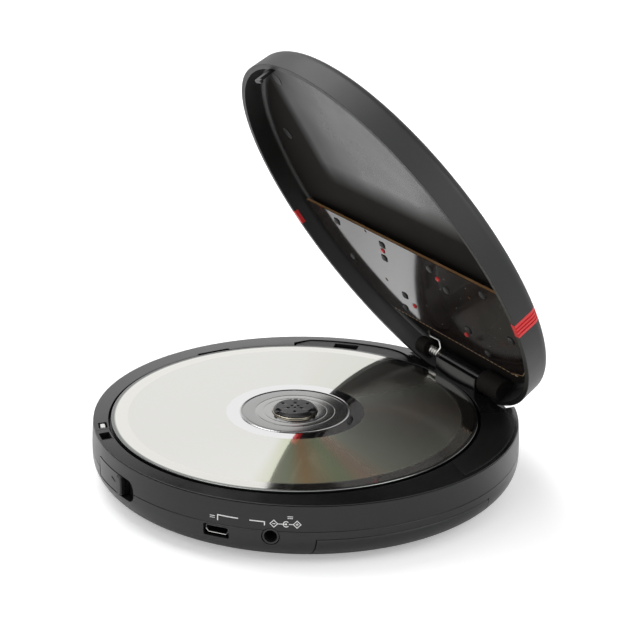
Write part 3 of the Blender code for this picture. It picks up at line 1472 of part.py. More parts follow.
def band_foot(name, lid_axis, grow, depth, front, rear, height):
    foot = band_skin(name, None, lid_axis, grow, depth, front, rear, True)
    reach = lid_radius + 2 * overrun
    slice_bounds = block((-reach, front - overrun, lid_rim - 2 * overrun),
                         (reach, rear + overrun, lid_rim + height))
    combine(foot, keep(slice_bounds, name + "_slice", None, lid_axis, cutter=True), "INTERSECT")
    return foot


def make_band(lid_axis):
    band = band_skin("red_band", "accent_red", lid_axis, 0, band_depth, band_front,
                     band_front + band_width, False)
    join(band, band_foot("band_foot", lid_axis, 0, lid_wall_thickness, band_front, band_front + band_width,
                         band_foot_height))
    pitch = band_width / (band_groove_count + 1)
    for number in range(band_groove_count):
        middle = band_front + pitch * (number + 1)
        groove = band_skin(f"band_groove_{number}", None, lid_axis, overrun, overrun + band_groove_depth,
                           middle - band_groove_width / 2, middle + band_groove_width / 2, True)
        cut(band, groove)
    return band


def make_lid_board(lid_axis):
    start = math.asin(board_front / board_radius)
    end = math.asin(board_rear / board_radius)
    right = arc(board_radius, start, end - board_corner_radius / board_radius, 8)
    corner_x = board_radius * math.cos(end) - board_corner_radius
    outline = right + [(corner_x, board_rear)]
    outline += [(-x, y) for x, y in outline[::-1]]
    board = keep(prism(outline, board_low, board_top), "lid_board", "board_black", lid_axis)
    for number, (side, y) in enumerate(frame_pegs() + band_pegs()):
        hole = rod((side, y, board_low - overrun), (side, y, board_top + overrun), peg_radius + joint_gap,
                   8)
        cut(board, keep(hole, f"peg_opening_{number}", None, lid_axis, cutter=True))
    for name, x, y, radius in buttons():
        switch = rod((x, y, board_top - joint_gap), (x, y, switch_top()), radius / 2, 8)
        join(board, keep(switch, name + "_switch", None, lid_axis, cutter=True))
    return board


def switch_top():
    return board_top + joint_gap


def band_pegs():
    return [(side * band_peg_side, band_front + band_width) for side in (-1, 1)]


def frame_pegs():
    return [(side * frame_peg_side, window_back + window_length / 2 + window_peg_gap) for side in (-1, 1)]


def make_display(lid_axis):
    top = lid_top_height(window_back)
    low = top - window_thickness
    half_x, half_y = window_width / 2, window_length / 2
    keep(block((-half_x, window_back - half_y, low), (half_x, window_back + half_y, top - joint_gap)),
         "display_window", "window_clear", lid_axis)
    outer_x, outer_y = half_x + frame_width, half_y + frame_width
    frame = keep(block((-outer_x, window_back - outer_y, low), (outer_x, window_back + outer_y, top)),
                 "display_frame", "accent_red", lid_axis)
    cut(frame, keep(block((-half_x - joint_gap, window_back - half_y - joint_gap, low - overrun),
                          (half_x + joint_gap, window_back + half_y + joint_gap, top + overrun)),
                          "frame_opening",
                    None, lid_axis, cutter=True))
    panel_low = board_top + joint_gap
    keep(block((-half_x, window_back - half_y, panel_low),
               (half_x, window_back + half_y, panel_low + panel_thickness)),
         "display_panel", "panel_grey", lid_axis)


def make_buttons(lid_axis):
    for name, x, y, radius in buttons():
        reach = math.hypot(x, y)
        top = lid_top_height(reach) + button_rise
        hub = axis(name + "_axis", (x, y, top), lid_axis)
        flange_low = switch_top() + joint_gap / 2 + button_travel
        flange_top = flange_low + button_flange_thickness
        rim_round = button_rise / 2
        keep(turned([(0, flange_low), (radius + button_flange, flange_low),
                     (radius + button_flange, flange_top),
                     (radius, flange_top), (radius, top - rim_round), (radius - rim_round, top), (0, top)],
                    part_segments - 4, (x, y), closed=False), name, "gloss_black", hub)


# An outline square to the case's radius at the latch, shifted along the rim
def latch_outline(start, end, grow=0):
    along = Vector(polar(1, latch_bearing))
    across = Vector((-along.y, along.x))
    near, far = hook_reach - hook_thickness / 2 - grow, hook_reach + hook_thickness / 2 + grow
    return [tuple(along * reach + across * shift) for reach, shift in
            ((near, start - grow), (far, start - grow), (far, end + grow), (near, end + grow))]


def make_hook(lid_axis):
    top = lid_rim + hook_top
    low = rim - hook_drop
    half = (hook_stem_width + hook_claw_width) / 2
    hook = keep(prism(latch_outline(-half, hook_stem_width - half), low, top), "latch_hook", "case_black",
                lid_axis)
    claw = prism(latch_outline(-half, half), low, low + hook_claw_height)
    join(hook, keep(claw, "hook_claw", None, lid_axis, cutter=True))


def make_hinge_pins(lid_axis):
    left_end = -left_knuckle_start - left_knuckle_width * pin_share
    keep(rod((left_end, hinge_back, hinge_level), (-block_left + pin_in_block, hinge_back, hinge_level),
             hinge_pin_radius, pin_segments), "hinge_pin_left", "bright_steel")
    right_end = block_right + knuckle_gap + right_knuckle_width * pin_share
    keep(rod((block_right - pin_in_block, hinge_back, hinge_level), (right_end, hinge_back, hinge_level),
             hinge_pin_radius, pin_segments), "hinge_pin_right", "bright_steel")


# A path with each inner corner replaced by two points
def eased(path, bend):
    points = [path[0]]
    for before, corner, after in zip(path, path[1:], path[2:]):
        corner_at = Vector(corner)
        for side in (before, after):
            points.append(tuple(corner_at + (Vector(side) - corner_at).normalized() * bend))
    points.append(path[-1])
    return points


# The coil winds along the hinge pin and its leg runs up under the lid's board
def make_torsion_spring(lid_axis):
    points = []
    count = spring_turns * spring_points_per_turn
    for step in range(count + 1):
        turn = math.tau * step / spring_points_per_turn
        x = -spring_start - spring_pitch * (count - step) / spring_points_per_turn
        points.append((x, hinge_back - spring_radius * math.cos(turn),
                       hinge_level + spring_radius * math.sin(turn)))
    x, y, z = points[-1]
    leg = [(x, y, z), (x + spring_bend / 2, y - spring_bend, z + spring_radius)]
    leg_level = board_top + spring_leg_gap + spring_wire / 2
    leg += [(side, hinge_back - inset, leg_level) for side, inset in spring_leg_bends]
    points += eased(leg, spring_bend)[1:]
    make_wire("torsion_spring", points, spring_wire, "bright_steel", lid_axis)


def main():
    clear_scene()
    cover = make_bottom_cover()
    deck = make_top_deck()
    cut_wall_openings(cover, deck)
    make_trims()
    make_battery_door()
    make_cells()
    make_contacts()
    make_sockets()
    make_open_slider()
    make_lid_switch()
    make_spindle()
    make_mechanism()
    make_base_boards()
    make_feet_and_screws()
    lid_axis = axis("lid_axis", (0, hinge_back, hinge_level))
    make_lid(lid_axis)
    make_band(lid_axis)
    make_lid_board(lid_axis)
    make_display(lid_axis)
    make_buttons(lid_axis)
    make_hook(lid_axis)
    make_torsion_spring(lid_axis)
    make_hinge_pins(lid_axis)
    lid_axis.rotation_euler.x = -open_angle


main()
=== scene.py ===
import math
import bmesh
import bpy
from mathutils import Matrix, Vector


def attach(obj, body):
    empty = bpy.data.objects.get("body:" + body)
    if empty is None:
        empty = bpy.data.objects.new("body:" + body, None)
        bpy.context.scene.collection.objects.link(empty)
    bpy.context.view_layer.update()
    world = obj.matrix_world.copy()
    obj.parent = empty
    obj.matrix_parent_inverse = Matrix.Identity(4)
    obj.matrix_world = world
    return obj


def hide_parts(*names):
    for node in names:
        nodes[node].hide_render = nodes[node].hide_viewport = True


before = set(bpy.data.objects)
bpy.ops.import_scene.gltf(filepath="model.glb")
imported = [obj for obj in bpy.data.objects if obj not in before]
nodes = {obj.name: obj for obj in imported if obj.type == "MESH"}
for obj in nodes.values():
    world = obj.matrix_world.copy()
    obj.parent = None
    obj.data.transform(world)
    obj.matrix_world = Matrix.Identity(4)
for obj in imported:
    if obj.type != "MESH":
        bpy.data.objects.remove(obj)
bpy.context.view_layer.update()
mm = 0.001
print("frame loaded:", len(nodes), "nodes")

# All sizes are in millimetres. The lid is drawn shut and then turned open
playerSizes = {
    "rim": 19.4, "hingeBack": 61.36, "hingeRise": 4.03, "openAngle": 58.87, "discBack": -4.22,
    "wallRadius": 69.7, "wallBulge": 0.6, "bulgeLevel": 8.2,
}
rim, discBack = playerSizes["rim"], playerSizes["discBack"]
hingeY, hingeZ = playerSizes["hingeBack"], rim + playerSizes["hingeRise"]
hingePoint = Vector((0, hingeY, hingeZ)) * mm
openTurn = Matrix.Rotation(math.radians(-playerSizes["openAngle"]), 4, "X")
lidPose = Matrix.Translation(hingePoint) @ openTurn @ Matrix.Translation(-hingePoint)
lidShut = lidPose.inverted()


def wallRadiusAt(height):
    share = min((rim - height) / (rim - playerSizes["bulgeLevel"]), 1)
    return playerSizes["wallRadius"] + playerSizes["wallBulge"] * math.sin(math.pi / 2 * share)


# A socket that does sums; any other node comes from make
class Link:
    def __init__(self, tree, socket=None):
        self.tree = tree
        self.socket = socket

    def make(self, kind, inputs=(), output=0, stops=(), **settings):
        node = self.tree.nodes.new("ShaderNode" + kind)
        for name, value in settings.items():
            setattr(node, name, value)
        for _ in stops[2:]:
            node.color_ramp.elements.new(0.5)
        if stops:
            for element, (place, colour) in zip(node.color_ramp.elements, stops):
                element.position = place
                element.color = (*colour, 1)
        for name, value in inputs.items() if isinstance(inputs, dict) else enumerate(inputs):
            if isinstance(value, Link):
                self.tree.links.new(value.socket, node.inputs[name])
            else:
                node.inputs[name].default_value = value
        return Link(self.tree, node.outputs[output]) if len(node.outputs) else None

    def sum(self, operation, *others):
        return self.make("Math", (self, *others), operation=operation)

    def __add__(self, other):
        return self.sum("ADD", other)

    def __sub__(self, other):
        return self.sum("SUBTRACT", other)

    def __mul__(self, other):
        return self.sum("MULTIPLY", other)

    def __truediv__(self, other):
        return self.sum("DIVIDE", other)

    def __pow__(self, other):
        return self.sum("POWER", other)

    def __rsub__(self, other):
        return self.make("Math", (other, self), operation="SUBTRACT")

    __radd__ = __add__
    __rmul__ = __mul__

    def most(self, other):
        return self.sum("MAXIMUM", other)

    def clamp(self):
        return self.most(0.0).sum("MINIMUM", 1.0)

    # 0 below low, 1 above high, straight between
    def rise(self, low, high):
        return ((self - low) / (high - low)).clamp()

    # 1 within width of middle, falling to 0 over soft
    def near(self, middle, width, soft):
        return 1 - (self - middle).sum("ABSOLUTE").rise(width, width + soft)

    def mixColour(self, *colours):
        first, second = [(*tone, 1) if isinstance(tone, tuple) else tone for tone in colours]
        return self.make("Mix", {0: self, 6: first, 7: second}, 2, data_type="RGBA", clamp_factor=True)

    def parts(self):
        return [self.make("SeparateXYZ", (self,), axis) for axis in range(3)]


# A new Principled material: fixed values go on its own sockets
def startMaterial(name, values):
    made = bpy.data.materials.new(name)
    made.use_nodes = True
    shader = made.node_tree.nodes["Principled BSDF"]
    for key, value in values.items():
        shader.inputs[key].default_value = (*value, 1) if isinstance(value, tuple) else value
    return made, Link(made.node_tree), shader


def feed(link, shader, name):
    link.tree.links.new(link.socket, shader.inputs[name])


# Object coordinates in millimetres, as they are or with the lid turned shut
def objectPlace(link, shut=False):
    inputs = {0: link.make("TexCoord", output=3), 3: (1000, 1000, 1000)}
    if shut:
        inputs |= {1: lidShut.to_translation() * 1000, 2: lidShut.to_euler()}
    return link.make("Mapping", inputs)


def noise(link, place, scale, detail=2.0):
    return link.make("TexNoise", {0: place, 2: scale, 3: detail, 4: 0.55})


def bump(link, height, strength, distance):
    return link.make("Bump", {0: strength, 1: distance * mm, "Height": height})


# Moulded plastic: fine grain, faint cloudy gloss, a little dust in the roughness
def mouldedPlastic(name, dark, light, roughness, spread, grain, depth, ior=1.49, polished=None):
    made, link, shader = startMaterial(name, {"IOR": ior})
    place = objectPlace(link)
    cloud, speck = noise(link, place, 0.05, 3.0), noise(link, place, 1.3)
    shade = (cloud * 0.6 + speck * 0.4).rise(0.3, 0.7)
    feed(shade.mixColour(dark, light), shader, "Base Color")
    rough = cloud.rise(0.3, 0.7) * spread + roughness + speck * 0.05
    if polished:
        level, less = polished
        rough = rough - place.parts()[2].rise(level, level + 0.1) * less
    feed(rough, shader, "Roughness")
    feed(bump(link, noise(link, place, grain), depth, 0.03), shader, "Normal")
    return made


# Drawn or plated metal with fine streaks and a little tarnish
def workedMetal(name, dark, light, roughness, spread, stretch, depth):
    made, link, shader = startMaterial(name, {"Metallic": 1.0})
    place = objectPlace(link)
    streak = noise(link, link.make("Mapping", {0: place, 3: stretch}), 3.0, 3.0)
    shade = (streak * 0.5 + noise(link, place, 0.25, 4.0) * 0.5).rise(0.3, 0.7)
    feed(shade.mixColour(dark, light), shader, "Base Color")
    feed(streak * spread + roughness, shader, "Roughness")
    feed(bump(link, streak, depth, 0.02), shader, "Normal")
    return made


# Dark tone, light tone, roughness, its spread, grain and bump of each plastic, then its index
# of refraction and the level above which it is smoother, and by how much, where they differ
plasticLooks = {
    "caseBlack": ((0.0065, 0.0065, 0.0068), (0.0095, 0.0095, 0.0098), 0.28, 0.06, 6.0, 0.09),
    "deckBlack": ((0.0045, 0.0045, 0.0047), (0.0070, 0.0070, 0.0073), 0.30, 0.08, 5.0, 0.2),
    "deckTop": ((0.0050, 0.0050, 0.0052), (0.0075, 0.0075, 0.0078), 0.34, 0.07, 6.0, 0.08, 1.49,
                (18.9, 0.22)),
    "screwDull": ((0.003, 0.003, 0.003), (0.006, 0.006, 0.006), 0.5, 0.1, 2.0, 0.3, 1.15),
    "screwHead": ((0.010, 0.010, 0.010), (0.026, 0.026, 0.025), 0.38, 0.1, 2.0, 0.2),
    "boardTan": ((0.30, 0.19, 0.10), (0.46, 0.31, 0.18), 0.5, 0.1, 2.0, 0.2),
    "pegWhite": ((0.60, 0.60, 0.58), (0.74, 0.74, 0.72), 0.4, 0.08, 4.0, 0.15),
    "gearIvory": ((0.60, 0.57, 0.47), (0.74, 0.71, 0.61), 0.42, 0.08, 3.0, 0.15),
    "footRubber": ((0.012, 0.012, 0.012), (0.022, 0.022, 0.022), 0.72, 0.1, 2.5, 0.5),
    "hubBlack": ((0.010, 0.010, 0.010), (0.016, 0.016, 0.016), 0.22, 0.1, 4.0, 0.12),
    "boardGreen": ((0.010, 0.075, 0.035), (0.018, 0.12, 0.055), 0.3, 0.12, 2.0, 0.25),
    "cellBlue": ((0.05, 0.09, 0.18), (0.07, 0.12, 0.23), 0.28, 0.1, 3.0, 0.1),
    "panelGrey": ((0.20, 0.23, 0.20), (0.26, 0.29, 0.25), 0.2, 0.05, 6.0, 0.05),
    "accentRed": ((0.52, 0.012, 0.016), (0.66, 0.020, 0.024), 0.3, 0.08, 4.0, 0.2),
    "printWhite": ((0.70, 0.70, 0.69), (0.80, 0.80, 0.79), 0.5, 0.06, 6.0, 0.05),
    "jackBlack": ((0.010, 0.010, 0.010), (0.015, 0.015, 0.015), 0.25, 0.06, 6.0, 0.05),
    "buttonBlack": ((0.014, 0.014, 0.015), (0.021, 0.021, 0.022), 0.24, 0.08, 5.0, 0.12),
}
# Dark tone, light tone, roughness, its spread, stretch of the streaks and bump of each metal
metalLooks = {
    "brightSteel": ((0.50, 0.49, 0.47), (0.72, 0.71, 0.68), 0.18, 0.2, (0.3, 2.0, 2.0), 0.12),
    "warmSteel": ((0.46, 0.42, 0.34), (0.66, 0.61, 0.50), 0.16, 0.12, (1.0, 1.0, 3.0), 0.05),
    # the USB shell's steel is painted dark: painted shade inside its opening
    "socketSteel": ((0.05, 0.05, 0.052), (0.11, 0.11, 0.112), 0.3, 0.15, (1.0, 1.0, 1.0), 0.1),
    "darkSteel": ((0.16, 0.16, 0.165), (0.27, 0.27, 0.275), 0.32, 0.2, (0.4, 1.5, 1.5), 0.15),
    "screwBlack": ((0.035, 0.035, 0.036), (0.075, 0.075, 0.078), 0.3, 0.15, (1.0, 1.0, 1.0), 0.2),
}
finishes = {name: mouldedPlastic(name, *look) for name, look in plasticLooks.items()}
finishes |= {name: workedMetal(name, *look) for name, look in metalLooks.items()}
print("plastics and metals made")

lidLook = {
    "outerDark": (0.0070, 0.0070, 0.0073), "outerLight": (0.0105, 0.0105, 0.0108),
    "innerDark": (0.0035, 0.0035, 0.0036), "innerLight": (0.0055, 0.0055, 0.0057),
    # the next two are a lighter grey painted on the dish as a painted reflection, and the dark matt grey of its
    # painted shade
    "paintedReflectionGrey": (0.036, 0.036, 0.037), "paintedShade": (0.016, 0.0145, 0.0135),
    "outerRoughness": 0.46, "dishRoughness": 0.22, "wallRoughness": 0.42,
    "skirt": 9.0, "dome": 0.7,  # where the top starts over the rim, and how far it rises
}


# The lid is satin outside and polished inside, so one material tells the two apart by place
def lidMaterial():
    look = lidLook
    made, link, shader = startMaterial("lidPlastic", {"IOR": 1.49})
    place = objectPlace(link, shut=True)
    x, y, z = place.parts()
    reach = (x * x + y * y) ** 0.5
    level = z - rim
    corner = (level - 5.0).most(0.0)
    inWall = 1 - (reach + corner * 0.55).rise(68.1, 68.5)
    dome = (1 - (reach / 66) ** 2) * look["dome"]
    inside = inWall * (1 - (level - dome).rise(look["skirt"], look["skirt"] + 0.2))
    cloud = noise(link, place, 0.06, 3.0)
    shade = (cloud * 0.6 + noise(link, place, 1.2) * 0.4).rise(0.3, 0.7)
    outer = shade.mixColour(look["outerDark"], look["outerLight"])
    inner = shade.mixColour(look["innerDark"], look["innerLight"])
    wall = reach.rise(64.5, 66.0)
    innerRough = look["dishRoughness"] + wall * (look["wallRoughness"] - look["dishRoughness"])
    rough = (1 - inside) * look["outerRoughness"] + inside * innerRough + cloud.rise(0.3, 0.7) * 0.06
    # the dish is painted: a lighter grey clear patch as a painted reflection, and a dark matt grey towards the
    # board and the left wall as painted shade, which is also rougher
    clear = (1 - y.rise(-17.0, -6.5)) * (x.rise(-40.0, -33.0) * 0.64 + x.rise(-28.0, -8.0) * 0.36)
    clear = clear * (0.9 + noise(link, place, 0.035).rise(0.35, 0.65) * 0.15)
    # away from the clear patch the dish turns dark matt grey: painted shade
    paintedShadeMask = (1 - clear).clamp() * inside * (1 - wall)
    # the clear patch is painted lighter grey: a painted reflection
    inner = (clear * (1 - wall)).mixColour(inner, look["paintedReflectionGrey"])
    feed(inside.mixColour(outer, inner), shader, "Base Color")
    feed(rough + paintedShadeMask * 0.2, shader, "Roughness")
    grain = noise(link, place, 6.0) * (1 - inside * 0.8)
    feed(bump(link, grain, 0.25, 0.03), shader, "Normal")
    # a dark matt grey laid over most of the dish as painted shade
    paintedShade = link.make("BsdfDiffuse", ((*look["paintedShade"], 1),))
    both = link.make("MixShader", (paintedShadeMask * 0.92, Link(made.node_tree, shader.outputs[0]), paintedShade))
    feed(both, made.node_tree.nodes["Material Output"], 0)
    return made


discLook = {
    "hub": (0.46, 0.46, 0.45), "stack": (0.38, 0.38, 0.375), "mirror": (0.80, 0.80, 0.80),
    "tracks": (0.74, 0.735, 0.70), "edge": (0.80, 0.79, 0.75), "lip": (0.26, 0.27, 0.26),
    # painted rainbow: bearing in degrees from where the painted haze starts, and the tint painted on the tracks
    # there, standing in for the rainbow they reflect
    "paintedRainbowHues": ((0, (1.0, 1.0, 1.0)), (6, (0.86, 0.88, 0.74)), (12, (0.78, 0.86, 0.64)),
             (18, (1.0, 0.70, 0.42)), (23, (0.95, 0.84, 0.56)), (30, (0.70, 0.86, 0.56)),
             (37, (1.0, 0.76, 0.60)), (48, (0.84, 0.90, 0.78)), (83, (0.92, 0.95, 0.88)),
             (108, (0.98, 0.92, 0.87)), (128, (0.91, 0.96, 0.90)), (148, (0.99, 0.94, 0.90)),
             (168, (0.94, 0.97, 0.93)), (186, (0.99, 0.98, 0.96)), (190, (1.0, 1.0, 1.0))),
    # share of the disc's radius at which each zone begins or ends
    "zones": ((0.0, "hub"), (0.215, "hub"), (0.222, "stack"), (0.285, "stack"), (0.292, "lip"),
              (0.304, "mirror"), (0.372, "mirror"), (0.380, "tracks"), (0.905, "tracks"),
              (0.915, "edge"), (0.976, "edge"), (0.984, "lip")),
    "firstBearing": 403.0,
}


# The disc reads as its moulded hub, a mirror band, the played area and a clear edge, by radius
def discMaterial():
    look = discLook
    made, link, shader = startMaterial("discMirror", {"Metallic": 1.0, "IOR": 1.58})
    place = link.make("Mapping", (objectPlace(link), (0, -discBack, 0)))
    x, y, _ = place.parts()
    reach = (x * x + y * y) ** 0.5
    zones = [(share, look[zone]) for share, zone in look["zones"]]
    colour = link.make("ValToRGB", (reach / 60.0,), stops=zones)
    # the tracks are painted with rainbow tints that change with the bearing, standing in for the rainbow they
    # reflect
    turn = (y.sum("ARCTAN2", x) * 57.2958 + look["firstBearing"]).sum("MODULO", 360.0)
    paintedRainbowHues = [(bearing / 360, tone) for bearing, tone in look["paintedRainbowHues"]]
    paintedRainbowRamp = link.make("ValToRGB", (turn / 360.0,), stops=paintedRainbowHues)
    tracks = reach.rise(22.4, 22.9) * (1 - reach.rise(54.3, 55.2))
    tinted = (tracks * (1 - turn.rise(191.0, 192.0))).mixColour((1, 1, 1), paintedRainbowRamp)
    tinted = link.make("Mix", {0: 1.0, 6: colour, 7: tinted}, 2, data_type="RGBA", blend_type="MULTIPLY")
    feed(tinted, shader, "Base Color")
    # a painted streak and a painted haze: the tracks are less metallic, so more diffuse, along one spiral line
    # and over a few sectors of bearing; the small even share is their own scatter
    streak = (turn + reach * 1.376).near(155.5, 1.5, 5.0) * tracks * reach.rise(20.0, 34.0)
    paintedHaze = (1 - turn.rise(8.0, 104.0)) ** 2.2 + turn.rise(312.0, 360.0)
    paintedHaze = paintedHaze + turn.rise(112.0, 150.0) * (1 - turn.rise(200.0, 290.0)) * 0.22
    feed(1 - tracks * (0.012 + paintedHaze * 0.27 + streak * 0.04), shader, "Metallic")
    hub = 1 - reach.rise(18.3, 18.6)
    veil = turn.rise(16.0, 42.0) * (1 - turn.rise(132.0, 154.0)) * tracks
    edge = reach.near(56.5, 1.5, 1.5) * 0.05 + reach.rise(58.9, 59.3) * 0.2
    feed(0.04 + hub * 0.12 + veil * 0.24 + edge, shader, "Roughness")
    return made


boardLook = {
    "faceDark": (0.010, 0.008, 0.0075), "faceLight": (0.020, 0.014, 0.012),
    "edgeDark": (0.16, 0.085, 0.035), "edgeLight": (0.26, 0.15, 0.07), "faceRise": 5.6,
}


# The lid's board is lacquered black on its face and bare at its cut edges
def boardMaterial():
    look = boardLook
    made, link, shader = startMaterial("boardBlack", {"IOR": 1.5})
    place = objectPlace(link, shut=True)
    cloud = noise(link, place, 0.08, 4.0)
    shade = cloud.rise(0.3, 0.7)
    edged = (place.parts()[2] - rim - look["faceRise"]).rise(0.0, 0.06)
    face = shade.mixColour(look["faceDark"], look["faceLight"])
    feed(edged.mixColour(face, shade.mixColour(look["edgeDark"], look["edgeLight"])), shader, "Base Color")
    feed(0.04 + cloud * 0.07, shader, "Roughness")
    feed(bump(link, noise(link, place, 0.35), 0.05, 0.05), shader, "Normal")
    return made


glassLooks = {
    "lensGlass": {"Base Color": (0.05, 0.07, 0.25), "Roughness": 0.05, "Coat Weight": 1.0, "IOR": 1.6},
    "windowSmoke": {"Base Color": (0.02, 0.022, 0.025), "Roughness": 0.05, "IOR": 1.49},
}


def glassMaterial(name, look):
    made, link, shader = startMaterial(name, look)
    feed(noise(link, objectPlace(link), 0.3, 3.0) * 0.06 + look["Roughness"], shader, "Roughness")
    return made


finishes |= {name: glassMaterial(name, look) for name, look in glassLooks.items()}
finishes |= {"lidPlastic": lidMaterial(), "discMirror": discMaterial(), "boardBlack": boardMaterial()}
print("lid, disc, board and glass materials made")

# CAD nodes by finish; the rest are buttons
nodeFinishes = {
    "caseBlack": "bottom_cover battery_door open_slider", "deckTop": "top_deck",
    "deckBlack": "hinge_trim_left hinge_trim_right dc_jack phones_jack pickup_sled latch_hook",
    "boardGreen": "main_board servo_board", "darkSteel": "mech_chassis spindle_motor sled_motor",
    "brightSteel": "usb_socket guide_rod_front guide_rod_rear contact_front contact_rear "
                   "cell_spring_front cell_spring_rear hinge_pin_left hinge_pin_right torsion_spring",
    "cellBlue": "cell_inner cell_outer", "pegWhite": "lid_switch_peg", "hubBlack": "turntable hub_cap",
    "discMirror": "compact_disc", "lensGlass": "pickup_lens", "lidPlastic": "lid_shell",
    "gearIvory": "drive_gear sled_rack motor_pinion", "accentRed": "red_band display_frame",
    "boardBlack": "lid_board", "windowSmoke": "display_window", "panelGrey": "display_panel",
    "footRubber": "rubber_foot_1 rubber_foot_2 rubber_foot_3 rubber_foot_4",
    "screwBlack": "case_screw_1 case_screw_2 case_screw_3 case_screw_4",
}
finishOf = {node: finish for finish, names in nodeFinishes.items() for node in names.split()}
for name, node in nodes.items():
    node.data.materials.clear()
    node.data.materials.append(finishes[finishOf.get(name, "buttonBlack")])
print("CAD nodes painted")


# Everything is drawn in millimetres with the lid shut, then scaled and, for the lid, turned open
def lathe(corners, centre=(0, 0), steps=180, closed=False):
    shape = bmesh.new()
    verts = [shape.verts.new((centre[0] + reach, centre[1], level)) for reach, level in corners]
    edges = [shape.edges.new(pair) for pair in zip(verts, verts[1:])]
    if closed:
        edges.append(shape.edges.new((verts[-1], verts[0])))
    bmesh.ops.spin(shape, geom=verts + edges, cent=(*centre, 0), axis=(0, 0, 1), angle=math.tau,
                   steps=steps, use_merge=True)
    return tidied(shape)


def tidied(shape):
    bmesh.ops.remove_doubles(shape, verts=shape.verts, dist=0.0005)
    bmesh.ops.recalc_face_normals(shape, faces=shape.faces)
    return shape


# Corners are (across, up) or (across, up, fillet)
def rounded(corners, closed=False, steps=4):
    points = []
    for index, corner in enumerate(corners):
        here = Vector(corner[:2])
        atEnd = not closed and index in (0, len(corners) - 1)
        if len(corner) < 3 or atEnd:
            points.append(tuple(here))
            continue
        before = Vector(corners[index - 1][:2]) - here
        after = Vector(corners[(index + 1) % len(corners)][:2]) - here
        half = before.angle(after) / 2
        reach = min(corner[2] / math.tan(half), before.length * 0.48, after.length * 0.48)
        start, end = before.normalized() * reach, after.normalized() * reach
        bisector = (before.normalized() + after.normalized()).normalized()
        middle = bisector * (reach / math.cos(half))
        for step in range(steps + 1):
            arm = (start - middle).lerp(end - middle, step / steps)
            points.append(tuple(here + middle + arm.normalized() * (start - middle).length))
    return points


# A closed outline with one fillet, from its sides
def roundedBox(left, right, low, high, fillet):
    return rounded([(left, low, fillet), (right, low, fillet), (right, high, fillet),
                    (left, high, fillet)], closed=True)


# A Catmull-Rom line through the points
def smoothLine(points, steps=4):
    line = []
    for index in range(len(points) - 1):
        near = [max(0, min(len(points) - 1, index + shift)) for shift in (-1, 0, 1, 2)]
        a, b, c, d = [Vector(points[spot]) for spot in near]
        for step in range(steps):
            t = step / steps
            line.append(tuple(0.5 * (2 * b + (c - a) * t + (2 * a - 5 * b + 4 * c - d) * t ** 2
                                     + (3 * b - a - 3 * c + d) * t ** 3)))
    return line + [tuple(points[-1])]


def slab(outline, low, high):
    shape = bmesh.new()
    face = shape.faces.new([shape.verts.new((x, y, low)) for x, y in outline])
    grown = bmesh.ops.extrude_face_region(shape, geom=[face])
    tops = [item for item in grown["geom"] if isinstance(item, bmesh.types.BMVert)]
    bmesh.ops.translate(shape, verts=tops, vec=(0, 0, high - low))
    return tidied(shape)


def brick(low, high):
    size, middle = Vector(high) - Vector(low), (Vector(high) + Vector(low)) / 2
    shape = bmesh.new()
    place = Matrix.Translation(middle) @ Matrix.Diagonal((*size, 1))
    bmesh.ops.create_cube(shape, size=1, matrix=place)
    return shape


def bar(start, end, radius, steps=32):
    start, end = Vector(start), Vector(end)
    run = end - start
    turn = run.to_track_quat("Z", "Y").to_matrix().to_4x4()
    shape = bmesh.new()
    bmesh.ops.create_cone(shape, cap_ends=True, segments=steps, radius1=radius, radius2=radius,
                          depth=run.length, matrix=Matrix.Translation((start + end) / 2) @ turn)
    return shape


# Bars that stand side by side: places are (x, y), or (x, y, radius)
def posts(places, low, high, radius=None, steps=32):
    return joined(*[bar((place[0], place[1], low), (place[0], place[1], high),
                        place[2] if radius is None else radius, steps) for place in places])


# A bar along the hinge's line
def hingeBar(left, right, radius, steps):
    return bar((left, hingeY, hingeZ), (right, hingeY, hingeZ), radius, steps)


def polar(radius, degrees):
    return (radius * math.cos(math.radians(degrees)), radius * math.sin(math.radians(degrees)))


def arc(radius, start, end, steps):
    return [polar(radius, start + (end - start) * step / steps) for step in range(steps + 1)]


def sector(inner, outer, start, end, steps):
    return arc(outer, start, end, steps) + arc(inner, end, start, steps)


# A box outline square to the case's radius at a bearing
def radialBox(bearing, near, far, width, shift=0.0):
    along = Vector(polar(1, bearing))
    across = Vector((-along.y, along.x))
    sides = (shift - width / 2, shift + width / 2)
    places = ((near, sides[0]), (far, sides[0]), (far, sides[1]), (near, sides[1]))
    return [tuple(along * reach + across * side) for reach, side in places]


def radialBar(bearing, level, near, far, radius, steps):
    return bar((*polar(near, bearing), level), (*polar(far, bearing), level), radius, steps)


def joined(*shapes):
    whole = bmesh.new()
    for shape in shapes:
        spare = bpy.data.meshes.new("spare")
        shape.to_mesh(spare)
        shape.free()
        whole.from_mesh(spare)
        bpy.data.meshes.remove(spare)
    return whole


def looseObject(shape, name):
    mesh = bpy.data.meshes.new(name)
    shape.to_mesh(mesh)
    shape.free()
    made = bpy.data.objects.new(name, mesh)
    bpy.context.collection.objects.link(made)
    return made


# What an object's modifiers or bevel make of it, as a shape
def evaluatedShape(made):
    evaluated = made.evaluated_get(bpy.context.evaluated_depsgraph_get())
    shape = bmesh.new()
    shape.from_mesh(evaluated.to_mesh())
    evaluated.to_mesh_clear()
    return shape


